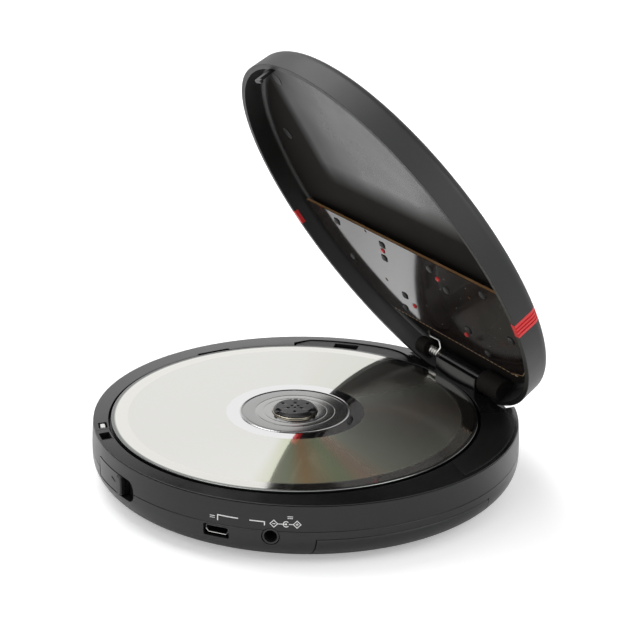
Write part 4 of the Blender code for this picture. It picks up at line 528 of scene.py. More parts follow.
# Cut, join or trim a shape with others, one after another
def carved(shape, steps):
    base = looseObject(tidied(shape), "carvedBase")
    spares = [base]
    for number, (operation, tool) in enumerate(steps):
        spares.append(looseObject(tidied(tool), f"carvedTool{number}"))
        change = base.modifiers.new(f"step{number}", "BOOLEAN")
        change.operation = {"cut": "DIFFERENCE", "add": "UNION", "within": "INTERSECT"}[operation]
        change.solver = "EXACT"
        change.object = spares[-1]
    result = evaluatedShape(base)
    for spare in spares:
        mesh = spare.data
        bpy.data.objects.remove(spare)
        bpy.data.meshes.remove(mesh)
    return tidied(result)


# Round every edge sharper than 35 degrees
def softened(shape, width, segments=2):
    edges = [edge for edge in shape.edges
             if edge.is_manifold and edge.calc_face_angle(0) > math.radians(35)]
    bmesh.ops.bevel(shape, geom=edges, offset=width, offset_type="OFFSET", segments=segments,
                    profile=0.5, affect="EDGES", clamp_overlap=True, material=-1)
    return tidied(shape)


# Bend a flat drawing (along the wall, out of the wall, up) round the case at a bearing
def wrapped(shape, bearing, spacing=1.2, offset=0.0, radiusAt=lambda level: 70):
    reach = max(abs(vert.co.x) for vert in shape.verts)
    for step in range(-int(reach / spacing), int(reach / spacing) + 1):
        everything = shape.verts[:] + shape.edges[:] + shape.faces[:]
        bmesh.ops.bisect_plane(shape, geom=everything, dist=0.0001, plane_no=(1, 0, 0),
                               plane_co=(step * spacing + offset, 0, 0))
    for vert in shape.verts:
        turn = math.radians(bearing) + vert.co.x / 70
        out = radiusAt(vert.co.z) + vert.co.y
        vert.co.x, vert.co.y = out * math.cos(turn), out * math.sin(turn)
    return tidied(shape)


# An upright slab for wrapped: an outline of (along, up) with a thickness outwards
def upright(outline, near, far):
    shape = slab(outline, -far, -near)
    quarterTurn = Matrix.Rotation(math.pi / 2, 3, "X")
    bmesh.ops.rotate(shape, verts=shape.verts, cent=(0, 0, 0), matrix=quarterTurn)
    return tidied(shape)


def finished(shape, name, body, finish, replaced=None, shut=False, sharp=38.0):
    tidied(shape)
    bmesh.ops.scale(shape, vec=(mm, mm, mm), verts=shape.verts)
    if shut:
        bmesh.ops.transform(shape, matrix=lidPose, verts=shape.verts)
    made = looseObject(shape, name)
    made.data.shade_smooth()
    made.data.set_sharp_from_angle(angle=math.radians(sharp))
    made.data.materials.append(finishes[finish])
    made.modifiers.new("evenShading", "WEIGHTED_NORMAL").keep_sharp = True
    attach(made, body)
    if replaced:
        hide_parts(replaced)


def onLid(shape, name, finish, replaced=None, body="lid"):
    finished(shape, name, body, finish, replaced, shut=True)


# A CAD node's own mesh, merged, softened and shaded smooth
def refined(name, body, finish, width):
    shape = bmesh.new()
    shape.from_mesh(nodes[name].data)
    bmesh.ops.scale(shape, vec=(1000, 1000, 1000), verts=shape.verts)
    tidied(shape)
    bmesh.ops.dissolve_limit(shape, angle_limit=math.radians(1), verts=shape.verts, edges=shape.edges)
    finished(softened(shape, width), name + "Fine", body, finish, name)


caseSizes = {
    "flat": 61.3, "roundWidth": 9.0, "roundHeight": 8.2, "floor": 2.0, "innerWidth": 6.6, "innerHeight": 6.2,
    "seam": 10.6, "seamGap": 0.09, "lipInner": 67.9, "lipOuter": 68.7, "lipRise": 1.6,
    "doorLeft": 31.3, "doorRight": 74, "doorFront": -31.0, "doorRear": 29.0, "doorTop": 8.0, "doorGap": 0.3,
    "bayFloor": 1, "bayTop": 15.9, "footCircle": 57.0,
    "screws": ((20.6, 51.0), (-20.6, 51.0), (20.6, -51.0), (-20.6, -51.0)),
    "chassisPosts": ((16.0, -25.22), (16.0, 16.78), (-56.8, 16.78), (-56.8, -25.22)),
    "usbBearing": -51.0, "usbLevel": 8.15, "dcBearing": -37.3, "phonesBearing": -135.0, "jackLevel": 8.75,
}
feet = [polar(caseSizes["footCircle"], 45 + 90 * number) for number in range(4)]
screws = caseSizes["screws"]


def quarter(width, height, low, steps):
    turns = [math.pi / 2 * step / steps for step in range(steps + 1)]
    return [(caseSizes["flat"] + width * math.sin(turn), low + height * (1 - math.cos(turn))) for turn in turns]


def wallLine(low, high, steps):
    levels = [low + (high - low) * step / steps for step in range(steps + 1)]
    return [(wallRadiusAt(level), level) for level in levels]


def doorOutline(grow):
    left, right = caseSizes["doorLeft"] - grow, caseSizes["doorRight"]
    front, rear = caseSizes["doorFront"] - grow, caseSizes["doorRear"] + grow
    return [(left, front), (right, front), (right, rear), (left, rear)]


def atDisc(point):
    return (point[0], point[1] + discBack)


sliderSizes = {
    "bearing": -87.0, "half": math.radians(19.6) * 70 / 2, "capRight": math.radians(4.4) * 70,
    "low": 7.4, "high": 14.4, "gap": 0.26,
}


# The slider's window has a large round at its upper right
def sliderWindow():
    half, low, high = (sliderSizes[name] for name in ("half", "low", "high"))
    corners = [(-half, low, 0.9), (half, low, 2.6), (half, high, 3.5), (-half, high, 0.9)]
    return wrapped(upright(rounded(corners, closed=True, steps=6), -4.5, 3.0), sliderSizes["bearing"])


def wallOpenings():
    usb = wrapped(upright(roundedBox(-4.1, 4.1, 6.2, 10.1, 0.5), -4.5, 3.0), caseSizes["usbBearing"])
    jacks = [radialBar(caseSizes[name], caseSizes["jackLevel"], 65, 73, 2.75, 48)
             for name in ("dcBearing", "phonesBearing")]
    return [("cut", tool) for tool in (sliderWindow(), usb, *jacks)]


def makeCover():
    size = caseSizes
    top = size["seam"] - size["seamGap"] / 2
    outer = quarter(size["roundWidth"], size["roundHeight"], 0, 18)
    outer += wallLine(8.6, top - 0.1, 3) + [(wallRadiusAt(top) - 0.1, top)]
    lip = [(size["lipOuter"], top), (size["lipOuter"], top + size["lipRise"]),
           (size["lipInner"], top + size["lipRise"])]
    inner = quarter(size["innerWidth"], size["innerHeight"], size["floor"], 8)
    base = lathe([(0, 0)] + outer + lip + inner[::-1] + [(0, size["floor"])])
    columns = joined(posts(size["chassisPosts"], 1, 10.3, 2.4, 20), posts(screws, 1, 4.9, 2.9, 24),
                     bar((-26, -27.26, 1), (-26, -27.26, 13.6), 0.8, 16))
    # the cells' bay, kept inside the case
    low, high = size["bayFloor"], size["bayTop"]
    bounds = lathe([(0, low)] + quarter(7.8, 7.2, low, 12)
                   + [(69.1, 9.6), (67.6, 9.6), (67.6, high), (0, high)], steps=90)
    bay = joined(brick((29.7, -32.6, low), (69.7, -31.3, high)), brick((29.7, 29.3, low), (69.7, 30.6, high)))
    steps = [("add", columns), ("add", carved(bay, [("within", bounds)])),
             ("add", brick((29.7, -31.9, low), (31.0, 29.9, high))),
             ("cut", slab(doorOutline(size["doorGap"]), -1, size["doorTop"] + 0.22)),
             ("cut", posts(feet, -1, 0.9, 4.25, 48)), ("cut", posts(screws, -1, 1.5, 3.4, 36)),
             ("cut", posts(screws, -1, 5.2, 1.2, 16))]
    finished(carved(base, steps + wallOpenings()), "caseLower", "case", "caseBlack", "bottom_cover")


def makeDoor():
    size, top = caseSizes, caseSizes["doorTop"]
    outer = quarter(size["roundWidth"], size["roundHeight"], 0, 18)
    outer = [spot for spot in outer if spot[1] < top - 0.2]
    outer += [(wallRadiusAt(top) - 0.06, top - 0.2), (wallRadiusAt(top) - 0.22, top)]
    inner = quarter(size["innerWidth"], size["innerHeight"], size["floor"], 10)
    inner = [spot for spot in inner if spot[1] < top]
    base = lathe([(0, 0)] + outer + [(size["lipInner"], top)] + inner[::-1] + [(0, size["floor"])])
    ridges = [brick((37 + 2.2 * number, -7, -1), (37.9 + 2.2 * number, 7, 0.35)) for number in range(6)]
    arrow = slab([(56.0, -3.2), (61.0, 0), (56.0, 3.2)], -1, 0.35)
    steps = [("within", slab(doorOutline(0), -1, 20)), ("cut", joined(*ridges, arrow))]
    finished(softened(carved(base, steps), 0.12, 1), "hatchFine", "battery_hatch", "caseBlack", "battery_door")


# Trim edges as (radius, bearing), the same as the solids'; the left trim lies a little lower
trimSizes = {
    "left": ((59.6, 113.0), (62.8, 117.4), (64.5, 123.0), (64.8, 131.0), (65.0, 140.0), (65.2, 148.0),
             (64.9, 150.3), (61.8, 154.6)),
    "right": ((68.5, 15.6), (68.5, 24.0), (68.5, 32.0), (68.5, 40.0), (68.5, 48.0), (68.3, 56.0), (66.0, 61.0)),
    "mouth": 61.0, "thickness": 0.9, "leftDrop": 0.5, "slant": {15.6: 19.8},
}


def trimOutline(side, grow):
    edge = trimSizes[side]
    outer, inner = [], []
    for index, (radius, bearing) in enumerate(edge):
        spread = math.degrees(grow / radius) * ((index == len(edge) - 1) - (index == 0))
        x, y = polar(radius + grow, bearing + spread)
        outer.append((x, y))
        innerX, innerY = polar(radius + grow, trimSizes["slant"].get(bearing, bearing) + spread)
        direction = math.degrees(math.atan2(innerY - discBack, innerX))
        reach = min(trimSizes["mouth"] - grow, math.hypot(x, y - discBack) - 1.0 - 2 * grow)
        inner.append(atDisc(polar(reach, direction)))
    return smoothLine(outer) + smoothLine(inner[::-1])


def makeTrims():
    thick, top = trimSizes["thickness"], rim - trimSizes["leftDrop"]
    left = slab(trimOutline("left", 0), top - thick, top)
    notch = slab(radialBox(137.5, 58, 63.6, 8.8), rim - 2, rim + 1)
    left = softened(carved(left, [("cut", notch)]), 0.12)
    finished(left, "trimLeftFine", "case", "deckBlack", "hinge_trim_left")
    right = softened(slab(trimOutline("right", 0), rim - thick, rim), 0.1)
    finished(right, "trimRightFine", "case", "deckBlack", "hinge_trim_right")


deckSizes = {
    "wellFloor": 17.5, "well": 60.5, "wellSlope": 0.5, "slopeRise": 1.9,
    "low": 16.3, "mouth": 17.2, "slot": 6.2,
    # bearing, from and to radius, width and fillet of the latch's hole and the switch peg's
    "holes": ((-99.7, 65.7, 69.0, 5.1, 0.25), (-106.85, 65.5, 68.3, 4.5, 0.4)),
    # side, gap round the trim and depth of its socket
    "trims": (("left", 0.7, 1.7), ("right", 0.16, 1.2)),
}


def makeDeck():
    size = deckSizes
    seam = caseSizes["seam"] + caseSizes["seamGap"] / 2
    # the ring's crown falls a little outwards, to a fine groove at its edge
    outer = [(0, rim), (61.4, rim), (64.0, rim - 0.12), (67.0, rim - 0.28)]
    outer += rounded([(68.0, rim - 0.335), (69.7, rim - 0.43, 0.35), (69.7, 18.78)], steps=5)[:-1]
    groove = [(69.7, 18.78), (69.56, 18.74), (69.50, 18.68), (69.56, 18.60), (wallRadiusAt(18.5), 18.54)]
    skirt = [(wallRadiusAt(seam) - 0.1, seam), (69.0, seam), (69.0, 12.65), (68.08, 12.65),
             (68.08, size["low"]), (0, size["low"])]
    base = lathe(outer + groove + wallLine(18.0, seam + 0.1, 12) + skirt)
    bounds = lathe([(0, 0), (68.3, 0), (68.3, rim), (0, rim)], steps=90)
    trough = carved(brick((-30.6, 57.0, 14.0), (30.6, 67.8, 16.6)), [("within", bounds)])
    slope = [(size["well"] + size["wellSlope"] * share, size["wellFloor"] + size["slopeRise"] * share ** 1.4)
             for share in (0.15, 0.3, 0.45, 0.6, 0.75, 0.86)]
    lip = [(61.0, 19.26), (61.13, 19.36), (61.35, 19.41), (61.8, 20.4), (0, 20.4)]
    well = lathe([(0, size["wellFloor"]), (60.4, size["wellFloor"])] + slope + lip, (0, discBack))
    # the lid's rear edge swings through the trough
    troughLow = hingeZ - math.hypot(69.5 - hingeY, hingeZ - 19.75) - 0.7
    steps = [("add", trough), ("cut", well), ("cut", brick((-29, 58.6, troughLow), (29, 72, 21))),
             ("cut", bar((0, discBack, 15), (0, discBack, 20), size["mouth"], 96)),
             ("cut", brick((-62.4, discBack - size["slot"], 15), (0, discBack + size["slot"], 20)))]
    for *place, fillet in size["holes"]:
        corners = [(*corner, fillet) for corner in radialBox(*place)]
        steps.append(("cut", slab(rounded(corners, closed=True, steps=3), 15, 21)))
    fineLine = slab(radialBox(-100.65, 65.0, 69.25, 8.15), rim - 0.52, rim + 1)
    inLine = slab(radialBox(-100.65, 65.2, 69.4, 7.75), rim - 2, rim + 2)
    steps.append(("cut", carved(fineLine, [("cut", inLine)])))
    for side, gap, depth in size["trims"]:
        steps.append(("cut", slab(trimOutline(side, gap), rim - depth, rim + 1)))
    steps += [("add", posts(screws, 5.2, 16.6, 2.9, 24)), ("cut", posts(screws, 4.2, 10.0, 1.2, 16)),
              ("add", softened(brick((-10, 57.2, 14.5), (14, 60.3, 24.6)), 0.5, 3)),
              ("add", hingeBar(-10, 14, 2.6, 40)), ("cut", hingeBar(-11, -4.7, 0.9, 16)),
              ("cut", hingeBar(8.7, 15, 0.9, 16))]
    openings = wallOpenings()
    steps += openings[:1] + openings[2:]
    finished(carved(base, steps), "deckFine", "case", "deckTop", "top_deck")


def makeSlider():
    size = sliderSizes
    left, right = size["gap"] - size["half"], size["capRight"]
    low, high = size["low"] + size["gap"], size["high"] - size["gap"]
    plate = rounded([(left, low, 0.8), (right, low, 0.5), (right, high, 0.5), (left, high, 0.8)], closed=True)
    plate = softened(upright(plate, -2.4, 0.22), 0.12)
    grip = rounded([(right - 3.0, low + 0.3, 1.2), (right + 0.35, low, 1.4), (right + 0.35, high, 2.2),
                    (right - 3.0, high - 0.3, 1.2)], closed=True)
    grip = softened(upright(grip, -1.2, 0.85), 0.5, 4)
    arrow = softened(upright([(-1.1, 10.0), (1.6, 10.9), (-1.1, 11.8)], 0.1, 0.42), 0.06, 1)
    catch = slab(sector(66.0, 67.0, -97.2, -90.0, 8), 13.3, 15.4)
    nose = slab(sector(66.15, 66.85, -97.4, -90.0, 8), 15.0, 16.0)
    backing = slab(sector(66.0, 67.3, -101.0, -72.6, 24), 7.0, 13.6)
    bent = [wrapped(part, size["bearing"]) for part in (plate, grip, arrow)]
    finished(carved(backing, [("add", part) for part in (catch, nose, *bent)]), "sliderFine", "slider",
             "caseBlack", "open_slider")


def makeFeet():
    profile = rounded([(0, 0.6), (4.0, 0.6), (4.0, -1.2, 0.5), (2.6, -1.2, 0.1), (2.3, -1.0, 0.1), (0, -1.0)])
    for number, centre in enumerate(feet, 1):
        finished(lathe(profile, centre, 64), f"footFine{number}", "case", "footRubber", f"rubber_foot_{number}")


makeCover()
makeDoor()
makeTrims()
makeDeck()
makeSlider()
makeFeet()
print("case made")

lidSizes = {
    "rimLevel": 19.75, "wallTop": 26.2, "radius": 69.5, "topRadius": 69.15, "corner": 3.3, "sweep": 80,
    "domeRise": 0.71, "dish": 64.4, "dishLevel": 27.45, "bandFront": 9.6, "bandWidth": 5.3, "bandGap": 0.12,
    "windowBack": 24.5, "windowHalf": (15.0, 6.5), "frameWidth": 1.2,
    "bosses": ((44.8, 10.9), (14.7, 11.4), (19.15, 19.0), (19.5, 36.6), (25.4, 44.8), (48.5, 28.8)),
    "buttons": {
        "play": (0.0, 38.5, 5.0), "skip_back": (-35.5, 20.0, 4.0), "skip_forward": (35.5, 20.0, 4.0),
        "stop": (-34.0, 36.0, 4.0), "mode": (34.0, 36.0, 4.0), "volume_down": (-51.0, 18.5, 3.2),
        "volume_up": (51.0, 18.5, 3.2),
    },
}
rimLevel, lidCorner = lidSizes["rimLevel"], lidSizes["corner"]
cornerSweep = math.radians(lidSizes["sweep"])
domeRadius = lidSizes["topRadius"] - lidCorner * (1 - math.cos(cornerSweep))
domeEdge = lidSizes["wallTop"] + lidCorner * math.sin(cornerSweep)
bosses = [(side * x, y) for x, y in lidSizes["bosses"] for side in (-1, 1)]
buttons = lidSizes["buttons"]


# The lid's outside from its rim to the middle of its top
def lidSkin(grow):
    points = [(lidSizes["radius"] + grow, rimLevel), (lidSizes["topRadius"] + grow, lidSizes["wallTop"])]
    for step in range(1, 11):
        turn = cornerSweep * step / 10
        points.append((lidSizes["topRadius"] - lidCorner + (lidCorner + grow) * math.cos(turn),
                       lidSizes["wallTop"] + (lidCorner + grow) * math.sin(turn)))
    edge, level = points[-1]
    for step in range(1, 13):
        share = 1 - step / 12
        points.append((edge * share, level + lidSizes["domeRise"] * (1 - share ** 2)))
    return points


def lidTopAt(reach):
    return domeEdge + lidSizes["domeRise"] * (1 - (reach / domeRadius) ** 2)


# A strip of the lid's skin, between two lines across it and two levels over its rim
def lidStrip(grow, depth, front, rear, low=-5.0, high=60.0):
    bounds = brick((-74, front, rimLevel + low), (74, rear, rimLevel + high))
    return carved(lathe(lidSkin(grow)[::-1] + lidSkin(grow - depth)), [("within", bounds)])


# An outline round the display's window
def windowOutline(grow, fillet):
    halfX, halfY = lidSizes["windowHalf"]
    back = lidSizes["windowBack"]
    return roundedBox(-halfX - grow, halfX + grow, back - halfY - grow, back + halfY + grow, fillet)


def makeLidShell():
    outer = rounded([(69.2, rimLevel), (69.5, rimLevel, 0.3), (69.15, 26.2)], steps=3)
    dish = []
    for step in range(11):
        share = 1 - step / 10
        dish.append((lidSizes["dish"] * share, lidSizes["dishLevel"] + lidSizes["domeRise"] * (1 - share ** 2)))
    hollow = rounded([(67.55, rimLevel, 0.25), (67.12, 26.6, 1.1), (66.1, 27.36, 0.6), dish[0]])
    base = lathe(lidSkin(0)[:0:-1] + outer[::-1][1:-1] + [(67.72, rimLevel)] + hollow[1:] + dish[1:])
    bounds = lathe([(0, 12), (67.8, 12), (67.4, 26.2), (0, 26.2)], steps=120)
    arms = joined(brick((15, hingeY, hingeZ - 2.1), (26.5, 69.5, hingeZ + 2.1)),
                  brick((-26, hingeY, hingeZ - 1.7), (-19.6, 69.5, hingeZ + 1.7)))
    gap = lidSizes["bandGap"]
    front, rear = lidSizes["bandFront"] - gap, lidSizes["bandFront"] + lidSizes["bandWidth"] + gap
    steps = [("add", posts(bosses, 26.25, 28.3, 2.0, 28)), ("add", carved(arms, [("within", bounds)])),
             ("add", softened(hingeBar(15, 26.5, 4.2, 40), 0.3)),
             ("add", softened(hingeBar(-25.2, -19.6, 3.1, 40), 0.4, 3)),
             ("cut", hingeBar(-24.4, 23.6, 0.9, 20)),
             ("cut", slab(radialBox(-99.7, 65.9, 67.6, 2.8, -1.0), rimLevel - 1, rimLevel + 6.7)),
             ("cut", lidStrip(1.0, 1.9, front, rear)), ("cut", lidStrip(1.0, 4.0, front, rear, -2.0, 1.52)),
             ("cut", slab(windowOutline(lidSizes["frameWidth"] + 0.15, 1.2), 26, 33)),
             ("cut", posts([(x, y, radius + 0.2) for x, y, radius in buttons.values()], 26, 33, steps=48))]
    onLid(carved(base, steps), "lidFine", "lidPlastic", "lid_shell")
    marks = [bar((x, y, level), (x, y, level + 0.4), 2.3, 40)
             for x, y, level in ((-51.9, -24.9, 27.38), (-33.5, -52.2, 27.4))]
    onLid(joined(*marks), "dishMarks", "hubBlack")


def makeBand():
    front, width = lidSizes["bandFront"], lidSizes["bandWidth"]
    rear = front + width
    steps = [("add", lidStrip(0.0, 2.0, front, rear, -1.0, 1.4))]
    for number in range(3):
        middle = front + width / 4 * (number + 1)
        steps.append(("cut", lidStrip(1.0, 1.32, middle - 0.28, middle + 0.28)))
    band = softened(carved(lidStrip(0.0, 0.8, front, rear), steps), 0.07, 1)
    onLid(band, "bandFine", "accentRed", "red_band")


boardSizes = {
    "front": 6.8, "rear": 49.5, "radius": 64.0, "low": 24.9, "top": 25.9,
    "pegs": ((16.0, 40.3), (-16.0, 40.3), (17.0, 14.9), (-17.0, 14.9)), "pegHole": 1.2,
    "holes": ((-23.0, 8.0, 0.7), (-28.4, 32.5, 0.8), (33.7, 16.6, 0.7)),
    "teeth": 9, "tabs": 33, "specks": 30,
}


def makeLidBoard():
    size = boardSizes
    rear, low = size["rear"], size["low"]
    start, end = (math.degrees(math.asin(size[name] / size["radius"])) for name in ("front", "rear"))
    right = arc(size["radius"], start, end - 3.6, 20)
    cornerX = math.sqrt(size["radius"] ** 2 - rear ** 2) - 4.0
    right += smoothLine([right[-1], (cornerX + 1.4, rear - 0.9), (cornerX, rear)], 3)[1:]
    # a row of break-off tabs along the middle of the rear edge
    teeth = []
    for number in range(size["teeth"]):
        x = 16.0 - 4.0 * number
        teeth += [(x, rear), (x, rear - 0.45), (x - 1.6, rear - 0.45), (x - 1.6, rear)]
    base = slab(right + teeth + [(-x, y) for x, y in right[::-1]], low, size["top"])
    holes = [(x, y, size["pegHole"]) for x, y in size["pegs"]] + list(size["holes"])
    switches = [(x, y, radius / 2) for x, y, radius in buttons.values()]
    steps = [("cut", posts(holes, 24, 27, steps=20)), ("add", posts(switches, 25.6, 26.2, steps=24))]
    onLid(carved(base, steps), "boardFine", "boardBlack", "lid_board")

    for number, (x, y) in enumerate(bosses):
        profile = rounded([(0, 24.3), (1.0, 24.35, 0.3), (1.3, 24.65, 0.2), (1.3, low), (0, low)], steps=3)
        turn = Matrix.Rotation(0.4 + number * 0.7, 3, "Z")
        slots = [brick((x - 0.75, y - 0.17, 23.5), (x + 0.75, y + 0.17, 24.55)),
                 brick((x - 0.17, y - 0.75, 23.5), (x + 0.17, y + 0.75, 24.55))]
        for slot in slots:
            bmesh.ops.rotate(slot, verts=slot.verts, cent=(x, y, 0), matrix=turn)
        head = carved(lathe(profile, (x, y), 28), [("cut", slot) for slot in slots])
        onLid(head, f"boardScrew{number + 1}", "screwHead")
    tip = rounded([(0, 24.45), (0.85, 24.45, 0.25), (0.85, 26.6), (0, 26.6)], steps=3)
    for number, place in enumerate(size["pegs"], 1):
        onLid(lathe(tip, place, 24), f"boardPeg{number}", "accentRed")

    # broken tabs along the rear and right edges, dark rings round the screws and specks of solder
    dashes = []
    for number in range(size["tabs"]):
        x = -36.0 + 2.3 * number
        dashes.append(brick((x, rear - 0.4, low - 0.05), (x + 1.4, rear - 0.14, low + 0.3)))
    edge = [spot for spot in right if spot[1] > 36]
    for (x, y), (nextX, nextY) in zip(edge, edge[1:]):
        if nextY > y + 0.1:
            outline = [(x - 0.5, y), (x - 0.1, y), (nextX - 0.1, nextY), (nextX - 0.5, nextY)]
            dashes.append(slab(outline, low - 0.05, low + 0.3))
    onLid(joined(*dashes), "boardTabs", "boardTan")
    onLid(posts(bosses, low - 0.04, low + 0.2, 1.75, 28), "boardRings", "screwDull")
    specks = [(-30 + (number * 37.7) % 78, 11 + (number * 23.9) % 34, 0.09 + 0.04 * (number % 3))
              for number in range(size["specks"])]
    specks = [speck for speck in specks if math.hypot(*speck[:2]) < 57]
    onLid(posts(specks, low - 0.03, low + 0.2, steps=10), "boardSpecks", "brightSteel")


# Play, skip, stop and level signs, as on any player: outlines, or boxes by their four sides
signOutlines = {
    "play": (((2.0, 0.0), (-0.6, 1.6), (-0.6, -1.6)), (-1.5, -1.1, -1.5, 1.5), (-2.2, -1.8, -1.5, 1.5)),
    "skip_forward": (((0.0, 0.0), (-1.6, 1.0), (-1.6, -1.0)), ((1.5, 0.0), (0.1, 1.0), (0.1, -1.0)),
                     (1.55, 1.85, -1, 1)),
    "skip_back": (((0.0, 0.0), (1.6, -1.0), (1.6, 1.0)), ((-1.5, 0.0), (-0.1, -1.0), (-0.1, 1.0)),
                  (-1.85, -1.55, -1, 1)),
    "stop": ((-1.1, 1.1, -1.1, 1.1),),
    "mode": ((-1.3, 1.3, 0.7, 1.0), (-1.3, 1.3, -0.15, 0.15), (-1.3, 1.3, -1.0, -0.7)),
    "volume_down": ((-1.0, 1.0, -0.17, 0.17),),
    "volume_up": ((-1.0, 1.0, -0.17, 0.17), (-0.17, 0.17, 0.18, 1.0), (-0.17, 0.17, -1.0, -0.18)),
}


def makeButtons():
    for name, (x, y, radius) in buttons.items():
        top = lidTopAt(math.hypot(x, y)) + 0.7
        profile = rounded([(0, 26.75), (radius + 0.8, 26.75), (radius + 0.8, 27.2), (radius, 27.2),
                           (radius, top, 0.45), (radius * 0.6, top - 0.02), (0, top - 0.12)], steps=5)
        onLid(lathe(profile, (x, y), 64), f"{name}Cap", "buttonBlack", f"{name}_button", name)
        marks = []
        for outline in signOutlines[name]:
            if len(outline) == 4:
                left, right, low, high = outline
                outline = [(left, low), (right, low), (right, high), (left, high)]
            marks.append(slab([(x + across, y + up) for across, up in outline], top - 0.12, top + 0.02))
        onLid(joined(*marks), f"{name}Mark", "printWhite", None, name)


def makeDisplay():
    top = lidTopAt(lidSizes["windowBack"])
    window = softened(slab(windowOutline(-0.02, 0.8), top - 1.4, top - 0.25), 0.2)
    onLid(window, "windowFine", "windowSmoke", "display_window")
    opening = slab(windowOutline(0.14, 0.9), top - 3, top + 1)
    ring = carved(slab(windowOutline(lidSizes["frameWidth"], 1.2), top - 1.4, top), [("cut", opening)])
    onLid(softened(ring, 0.18), "windowFrameFine", "accentRed", "display_frame")


springSizes = {
    "turns": 4, "pitch": 1.3, "radius": 1.4, "wire": 0.8, "end": -13.6, "steps": 16, "bend": 0.6,
    # the leg's corners after the coil
    "leg": ((-13.35, hingeY - 1.9, hingeZ + 1.4), (-15.3, 58.0, 26.4), (-21.5, 58.5, 26.4),
            (-21.5, 57.0, 26.4), (-20.4, 55.6, 26.4)),
}


def makeTorsionSpring():
    size = springSizes
    path = []
    last = size["turns"] * size["steps"]
    for step in range(last + 1):
        back, up = polar(size["radius"], 360 * step / size["steps"])
        x = size["end"] - size["pitch"] * (last - step) / size["steps"]
        path.append((x, hingeY - back, hingeZ + up))
    bends = [Vector(place) for place in (path[-1], *size["leg"])]
    for before, corner, after in zip(bends, bends[1:], bends[2:]):
        start, end = [corner + (spot - corner).normalized() * min(size["bend"], (spot - corner).length * 0.45)
                      for spot in (before, after)]
        for share in (0, 0.25, 0.5, 0.75, 1):
            path.append(start * (1 - share) ** 2 + corner * 2 * share * (1 - share) + end * share ** 2)
    path.append(bends[-1])

    curve = bpy.data.curves.new("springLine", "CURVE")
    curve.dimensions = "3D"
    curve.bevel_depth = size["wire"] / 2
    curve.bevel_resolution = 3
    curve.use_fill_caps = True
    line = curve.splines.new("POLY")
    line.points.add(len(path) - 1)
    for point, place in zip(line.points, path):
        point.co = (*place, 1)
    holder = bpy.data.objects.new("springLine", curve)
    bpy.context.collection.objects.link(holder)
    wire = evaluatedShape(holder)
    bpy.data.objects.remove(holder)
    bpy.data.curves.remove(curve)
    onLid(wire, "springFine", "brightSteel", "torsion_spring")


makeLidShell()
makeBand()
makeLidBoard()
makeButtons()
makeDisplay()
makeTorsionSpring()
print("lid made")

discSizes = {
    "top": 19.81, "thickness": 1.2,
    # the hub's three rings of dots as reach, turn from the finger's bearing and radius
    "dots": ((4.6, 60, 0.58), (2.6, 0, 0.56), (1.15, 60, 0.5)),
}


def makeDisc():
    top, low = discSizes["top"], discSizes["top"] - discSizes["thickness"]
    profile = rounded([
        (7.5, low), (17.4, low), (17.7, low - 0.12, 0.1), (18.1, low - 0.12, 0.1), (18.3, low), (59.85, low),
        (60.0, low + 0.12), (60.0, top - 0.14, 0.05), (59.86, top, 0.05), (59.2, top), (59.15, top - 0.03),
        (18.55, top - 0.03), (18.45, top), (18.2, top + 0.02, 0.02), (17.95, top + 0.09, 0.04),
        (17.6, top + 0.02, 0.03), (17.3, top - 0.03), (16.9, top - 0.05), (16.8, top), (13.2, top),
        (13.1, top - 0.05), (12.7, top - 0.05), (12.6, top), (10.6, top), (10.5, top - 0.04),
        (10.2, top - 0.04), (10.1, top), (7.62, top), (7.5, top - 0.1),
    ], closed=True, steps=3)
    finished(lathe(profile, atDisc((0, 0)), 256, closed=True), "discFine", "disc_drive", "discMirror",
             "compact_disc", sharp=60)


def makeHub():
    centre, top = atDisc((0, 0)), rim + 2.0
    profile = rounded([(0, top), (6.3, top, 0.4), (7.2, top - 0.9, 0.5), (7.2, 20.3), (6.9, 20.2), (6.9, 18.6),
                       (5.3, 18.6), (5.3, 20.6), (0, 20.6)], steps=4)
    cuts, dots, fingers = [], [], []
    for bearing in (-90, 30, 150):
        cuts.append(slab([atDisc(spot) for spot in radialBox(bearing, 5.5, 8.0, 2.5)], 20.62, 22))
        finger = slab([atDisc(spot) for spot in radialBox(bearing, 5.6, 7.5, 1.5)], 20.3, 20.95)
        fingers.append(softened(finger, 0.12))
        dots += [(*atDisc(polar(reach, bearing + turn)), radius) for reach, turn, radius in discSizes["dots"]]
    steps = [("cut", joined(*cuts)), ("cut", posts(dots, 20, 22, steps=20)), ("add", joined(*fingers))]
    cap = softened(carved(lathe(profile, centre, 96), steps), 0.08)
    finished(cap, "capFine", "disc_drive", "hubBlack", "hub_cap")
    ring = rounded([(6.95, 19.86), (7.46, 19.86, 0.08), (7.46, 20.2, 0.1), (6.95, 20.2)], closed=True, steps=3)
    finished(lathe(ring, centre, 96, closed=True), "capRing", "disc_drive", "warmSteel")
    table = rounded([(1.05, 14.41), (4.0, 14.41), (4.0, 17.01), (15.2, 17.01, 0.2), (15.2, 18.31, 0.2),
                     (5.0, 18.31), (5.0, 20.3), (1.05, 20.3)], closed=True, steps=3)
    finished(lathe(table, centre, 96, closed=True), "turntableFine", "disc_drive", "hubBlack", "turntable")


socketSizes = {
    "shell": ((-3.75, 1.25, 0.5), (-3.75, -0.15, 0.6), (-2.85, -1.25, 0.5), (2.85, -1.25, 0.5),
              (3.75, -0.15, 0.6), (3.75, 1.25, 0.5)),
    "hollow": ((-3.42, 0.95, 0.35), (-3.42, -0.05, 0.45), (-2.68, -0.92, 0.35), (2.68, -0.92, 0.35),
               (3.42, -0.05, 0.45), (3.42, 0.95, 0.35)),
    "tongue": ((-2.2, 0.62), (-2.2, 0.05), (2.2, 0.05), (2.2, 0.62)),
    "bores": (("dc", 1.95), ("phones", 1.75)),
}


